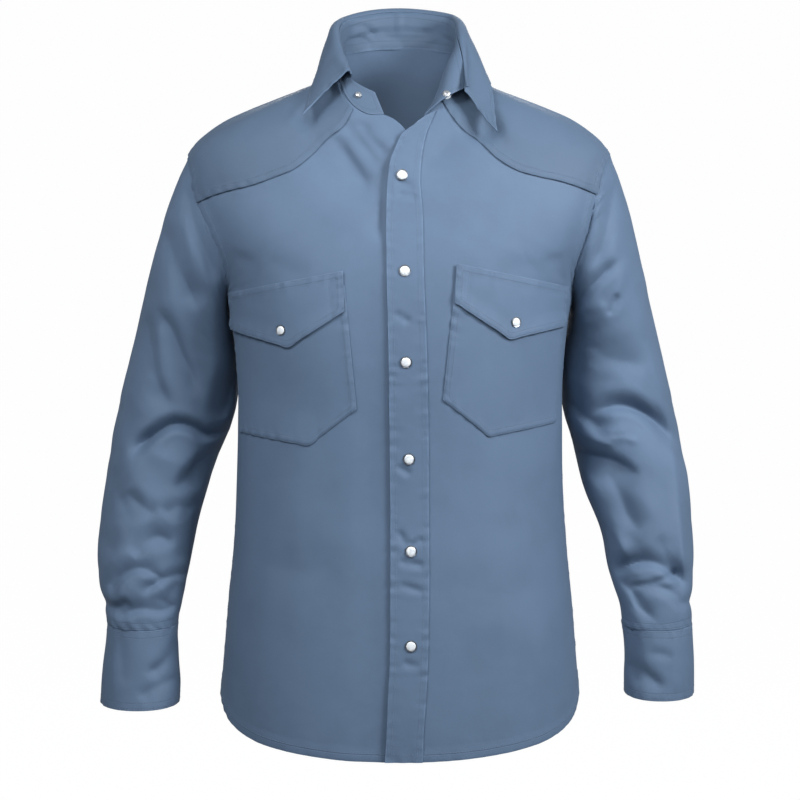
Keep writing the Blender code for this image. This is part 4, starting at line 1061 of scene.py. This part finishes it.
SLEEVE_SIDE_FOLDS = (
    (-0.8, 12, 12, ((-30, -210), (-4, -236), (24, -238))),
    (-1.0, 9, 14, ((-20, -338), (12, -352), (44, -344))),
    (-0.8, 12, 10, ((-20, -392), (10, -402), (40, -396))),
    (-0.7, 12, 12, ((-28, -452), (0, -472), (26, -476))),
    (-0.6, 9, 6, ((-42, -530), (-16, -526), (10, -538))),
    (-2.0, 8, 6, ((-50, -566), (-26, -560), (4, -570))),
)
SLEEVE_INNER_FOLDS = (
    (3.1, 60, 60, ((20, -178), (24, -250), (24, -330))),
)
sleeve_twill = twill("sleeve_twill", stitched=SLEEVE_ROWS, worn=0.0)
for side, first in SLEEVE_FIRST.items():
    sleeve = Cloth(f"sleeve_{side}", first, step=SLEEVE_STEP, soften=1)
    sleeve.sewn = ("top", "bottom")
    sleeve.fold(SLEEVE_FOLDS[side])
    sleeve.fold(SLEEVE_BACK_FOLDS[side], BACK)
    outwards = Vector((1 if side == "left" else -1, 0, 0))
    sleeve.fold(SLEEVE_SIDE_FOLDS, outwards)
    sleeve.fold(SLEEVE_INNER_FOLDS, -outwards)
    sleeve.settle()
    sleeve.thicken("top", ARMHOLE_EDGE, -ARMHOLE_SINK)
    sleeve.tuck("top")
    sleeve.tuck("bottom", CUFF_TUCK_REACH, CUFF_TUCK_DROP)
    sleeve.build(f"sleeve_tube_{side}", sleeve_twill, SLEEVE_CUT)
    strip = Cloth(f"sleeve_placket_{side}", *SLEEVE_PLACKET_CORNERS[side])
    strip.sewn = ("left", "right", "top")
    strip.settle()
    strip.build(f"sleeve_placket_strip_{side}", sleeve_twill, SLEEVE_PLACKET_CUT)
    rows = strip.seam_lines(strip.sewn, EDGE_ROWS[:1])
    stitches(f"sleeve_placket_stitches_{side}", rows, thread)


# The cuffs
# A stiff band of two layers round each wrist, sewn close to all its edges and closed with a snap.
CUFF_CORNERS = {
    "left": ((0.315, 0.001, -0.582), (0.292, 0.023, -0.578)),
    "right": ((-0.292, 0.023, -0.578), (-0.316, 0.001, -0.582)),
}
CUFF_CUT = (0.27, 0.09, 0.0235)
CUFF_WALL = 1.9 * MM
CUFF_FOLDS = {"right": (
    (-4.6, 5, 12, ((-281, -648), (-264, -633), (-252, -619), (-241, -600))),
    (-3.2, 6, 9, ((-292, -672), (-264, -656), (-238, -645))),
    (-2.0, 10, 8, ((-305, -584), (-308, -620), (-305, -662))),
), "left": (
    (-5.0, 8, 13, ((258, -574), (256, -612), (258, -640), (264, -662))),
    (-4.0, 6, 10, ((246, -632), (268, -641), (294, -664))),
    (-1.5, 5, 5, ((272, -621), (288, -622), (304, -627))),
    (1.5, 8, 6, ((303, -584), (305, -630), (306, -668))),
)}
cuff_twill = twill("cuff_twill", stitched=EDGE_ROWS)
for side in ("left", "right"):
    cuff = Cloth(f"cuff_{side}", *CUFF_CORNERS[side], step=SMALL_STEP)
    cuff.sewn = ("left", "right", "top", "bottom")
    cuff.fold(CUFF_FOLDS[side])
    cuff.settle()
    cuff.build(f"cuff_band_{side}", cuff_twill, CUFF_CUT, CUFF_WALL)
    rows = cuff.seam_lines(cuff.sewn, EDGE_ROWS)
    stitches(f"cuff_stitches_{side}", rows, thread)
    carriers[f"cuff_snap_{side}"] = cuff


# The collar
# A stand sewn into the neck seam and a turned-down leaf with pointed ends, both stiffened inside.
STAND_CORNERS = ((0.069, -0.070, -0.004), (-0.027, -0.069, -0.008))
STAND_CUT = (0.46, 0.046, 0.0150)
STAND_WALL = 1.7 * MM
LEAF_CORNERS = ((0.070, -0.070, -0.004), (-0.053, -0.056, 0.009))
LEAF_CUT = (0.47, 0.095, 0.0330)
LEAF_WALL = 1.5 * MM
LEAF_TURN = 5.5 * MM
LEAF_RISE = 0.3 * MM
LEAF_ROW = 6.0 * MM
STAND_HALF_DEPTH = 30.0 * MM
STAND_RIM = 3.5 * MM
STAND_LEDGE = 17.0 * MM
STAND_LEDGE_WIDTH = 1.2 * MM
STAND_RELIEF = 2.4 * MM
STAND_BAND_SHIFT = 1.6 * MM
STAND_LAP = 3.5 * MM
STAND_FOLDS = (
    (3.2, 4, 3.5, ((-62, 66), (-44, 71), (-24, 60))),
    (3.0, 4, 3.5, ((-62, 56), (-46, 60), (-30, 50))),
    (2.2, 4, 4, ((20, 66), (44, 68), (62, 60))),
    (2.0, 4, 4, ((-24, 62), (8, 58), (44, 61))),
    (2.0, 3, 3, ((-8, 54), (16, 50), (50, 54))),
    (-1.6, 3, 3, ((-2, 90), (-1, 78), (-3, 66))),
)
LEAF_FOLDS = (
    (17.0, 15, 16, ((46, 34), (70, -5), (88, -31), (102, -52), (122, -82))),
    (17.0, 16, 15, ((-30, 36), (-53, 8), (-76, -20), (-100, -34), (-134, -48))),
)
# The collar takes the darker twill colour: painted shade.
collar_twill = twill("collar_twill", TWILL_PAINTED_SHADE, (LEAF_ROW,), 0.5)
stand = Cloth("collar_stand", *STAND_CORNERS, step=FINE_STEP)
stand.sewn = ("left", "right", "top", "bottom")
# At the back, the band between the rim and the ledge lies nearer to the neck, and the foot laps the yoke.
behind = eased(stand.points[..., 1] / STAND_HALF_DEPTH)
rim = 1 - eased(stand.from_edge["top"] / STAND_RIM)
ledge = eased((stand.from_edge["top"] - STAND_LEDGE) / STAND_LEDGE_WIDTH)
stand.push(behind * (STAND_RELIEF * (rim + ledge) - STAND_BAND_SHIFT))
stand.fold(STAND_FOLDS, BACK)
stand.points[-1, :, 2] -= STAND_LAP * behind[-1]
stand.build("collar_stand_band", collar_twill, STAND_CUT, STAND_WALL)
rows = stand.seam_lines(["left", "right", "bottom"], EDGE_ROWS[:1])
stitches("collar_stand_stitches", rows, thread)
leaf = Cloth("collar_leaf", *LEAF_CORNERS, step=FINE_STEP, inside=LEAF_WALL)
leaf.sewn = ("left", "right", "bottom")
leaf.fold(LEAF_FOLDS)
leaf.settle()
for edge in leaf.sewn:
    leaf.thicken(edge, LEAF_TURN, LEAF_RISE)
leaf.build("collar_leaf_piece", collar_twill, LEAF_CUT, LEAF_WALL)
rows = leaf.seam_lines(leaf.sewn, [LEAF_ROW])
stitches("collar_leaf_stitches", rows, thread)


# The snaps
# Pearl caps set in thin metal rims, pressed through the placket, the flaps and the cuffs. The collar's snap
# is open, with its cap and socket on one end of the stand and its stud on the other.
SNAP_SIDES = 28
SNAP_ROUND = 0.22 * MM
RIM_HEIGHT = 1.3 * MM
RIM_DISH = 0.5 * MM
PEARL_SHARE = 0.80
PEARL_SUNK = 0.1 * MM
# Each step of a pearl's dome goes in by a share of its radius and up by a height.
DOME_STEPS = ((0.16, 0.38 * MM), (0.24, 0.30 * MM), (0.36, 0.16 * MM))
SEAT_REACH = 5.0 * MM
PEARL_TONES = ((0.56, 0.62, 0.68, 1.0), (0.80, 0.83, 0.84, 1.0))
RIM_TONES = ((0.10, 0.11, 0.13, 1.0), (0.30, 0.32, 0.35, 1.0))
STUD_TONES = ((0.62, 0.65, 0.68, 1.0), (0.90, 0.92, 0.94, 1.0))

pearl_shade = Shade("pearl", roughness=0.16, coat_weight=0.7, coat_roughness=0.08)
pearl_swirl = pearl_shade.node("ShaderNodeTexNoise", {}, {
    "Vector": pearl_shade.place(), "Scale": 160.0, "Detail": 3.0, "Distortion": 2.5})
pearl_shade.feed("Base Color", pearl_shade.mix(pearl_shade.step(pearl_swirl, 0.3, 0.7), *PEARL_TONES))
pearl_shade.feed("Roughness", pearl_swirl * 0.10 + 0.12)
pearl = pearl_shade.material


def plated(name, tones, smoothest):
    """Plated metal, finely and unevenly worn."""
    shade = Shade(name, metallic=1.0)
    wear = shade.noise(shade.place(), 700.0, 3.0)
    shade.feed("Base Color", shade.mix(shade.step(wear, 0.35, 0.7), *tones))
    shade.feed("Roughness", wear * 0.3 + smoothest)
    return shade.material


snap_rim = plated("snap_rim", RIM_TONES, 0.18)
bright_stud = plated("bright_stud", STUD_TONES, 0.20)


def turned(name, radius, depth, shape):
    """A short cylinder standing on its base, with its top shaped in edit mode and its edges rounded."""
    bpy.ops.object.select_all(action="DESELECT")
    bpy.ops.mesh.primitive_cylinder_add(
        vertices=SNAP_SIDES, radius=radius, depth=depth, location=(0, 0, depth / 2))
    item = bpy.context.object
    item.name = name
    bpy.ops.object.transform_apply()
    bpy.ops.object.mode_set(mode="EDIT")
    bpy.ops.mesh.select_mode(type="FACE")
    bpy.ops.mesh.select_all(action="DESELECT")
    cage = bmesh.from_edit_mesh(item.data)
    for face in cage.faces:
        face.select_set(face.normal.z > 0.9)
    bmesh.update_edit_mesh(item.data)
    shape(radius)
    bpy.ops.object.mode_set(mode="OBJECT")
    soft = item.modifiers.new("edges", "BEVEL")
    soft.width = SNAP_ROUND
    soft.segments = 3
    soft.angle_limit = math.radians(35)
    bpy.ops.object.modifier_apply(modifier="edges")
    bpy.ops.object.shade_smooth()
    return item


def domed(radius):
    """Raises the top into a pearl's low dome."""
    for share, rise in DOME_STEPS:
        bpy.ops.mesh.inset(thickness=radius * share)
        bpy.ops.transform.translate(value=(0, 0, rise))


def dished(radius):
    """Sinks the top inside a rim's narrow edge, as the pearl's seat."""
    bpy.ops.mesh.inset(thickness=radius * (1 - PEARL_SHARE))
    bpy.ops.transform.translate(value=(0, 0, -RIM_DISH))


def seat(cloth, node):
    """The place on the finished cloth under a snap's solid, and the way that it faces."""
    low, high = (Vector(corner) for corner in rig.box(node))
    middle = (low + high) / 2
    points, normals = cloth.points.reshape(-1, 3), cloth.normals().reshape(-1, 3)
    gaps = np.linalg.norm(points - np.array(middle), axis=1)
    around = normals[gaps < gaps.min() + SEAT_REACH].mean(axis=0)
    facing = Vector(around).normalized()
    nearest = Vector(points[gaps.argmin()])
    return middle + facing * (nearest - middle).dot(facing), facing


def press_snap(node, place, facing, radius):
    """A pearl in its rim, standing on the cloth in place of the snap's solid."""
    turn = Matrix.Translation(place) @ facing.to_track_quat("Z", "Y").to_matrix().to_4x4()
    ring = turned(f"{node}_rim", radius, RIM_HEIGHT, dished)
    cap = turned(f"{node}_pearl", radius * PEARL_SHARE, RIM_HEIGHT - PEARL_SUNK, domed)
    for item, finish, slot in ((ring, snap_rim, "metal"), (cap, pearl, "pearl")):
        item.data.transform(turn)
        item.data.materials.append(finish)
        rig.ride(item, "root")
        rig.replaces(item, node)
        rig.slot(item, slot)


carriers.update({f"front_snap_{k}": placket for k in range(1, 7)})
for node, cloth in carriers.items():
    low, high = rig.box(node)
    press_snap(node, *seat(cloth, node), max(b - a for a, b in zip(low, high)) / 2)
for node, finish in (("collar_cap", pearl), ("collar_socket", bright_stud), ("collar_stud", bright_stud)):
    for slot in frame["nodes"][node].material_slots:
        slot.material = finish


with open("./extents.json", "w") as sizes:
    boxes = {"cad": cad_box, "visual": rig.bounds()}
    json.dump({name: [list(map(float, corner)) for corner in box] for name, box in boxes.items()}, sizes)
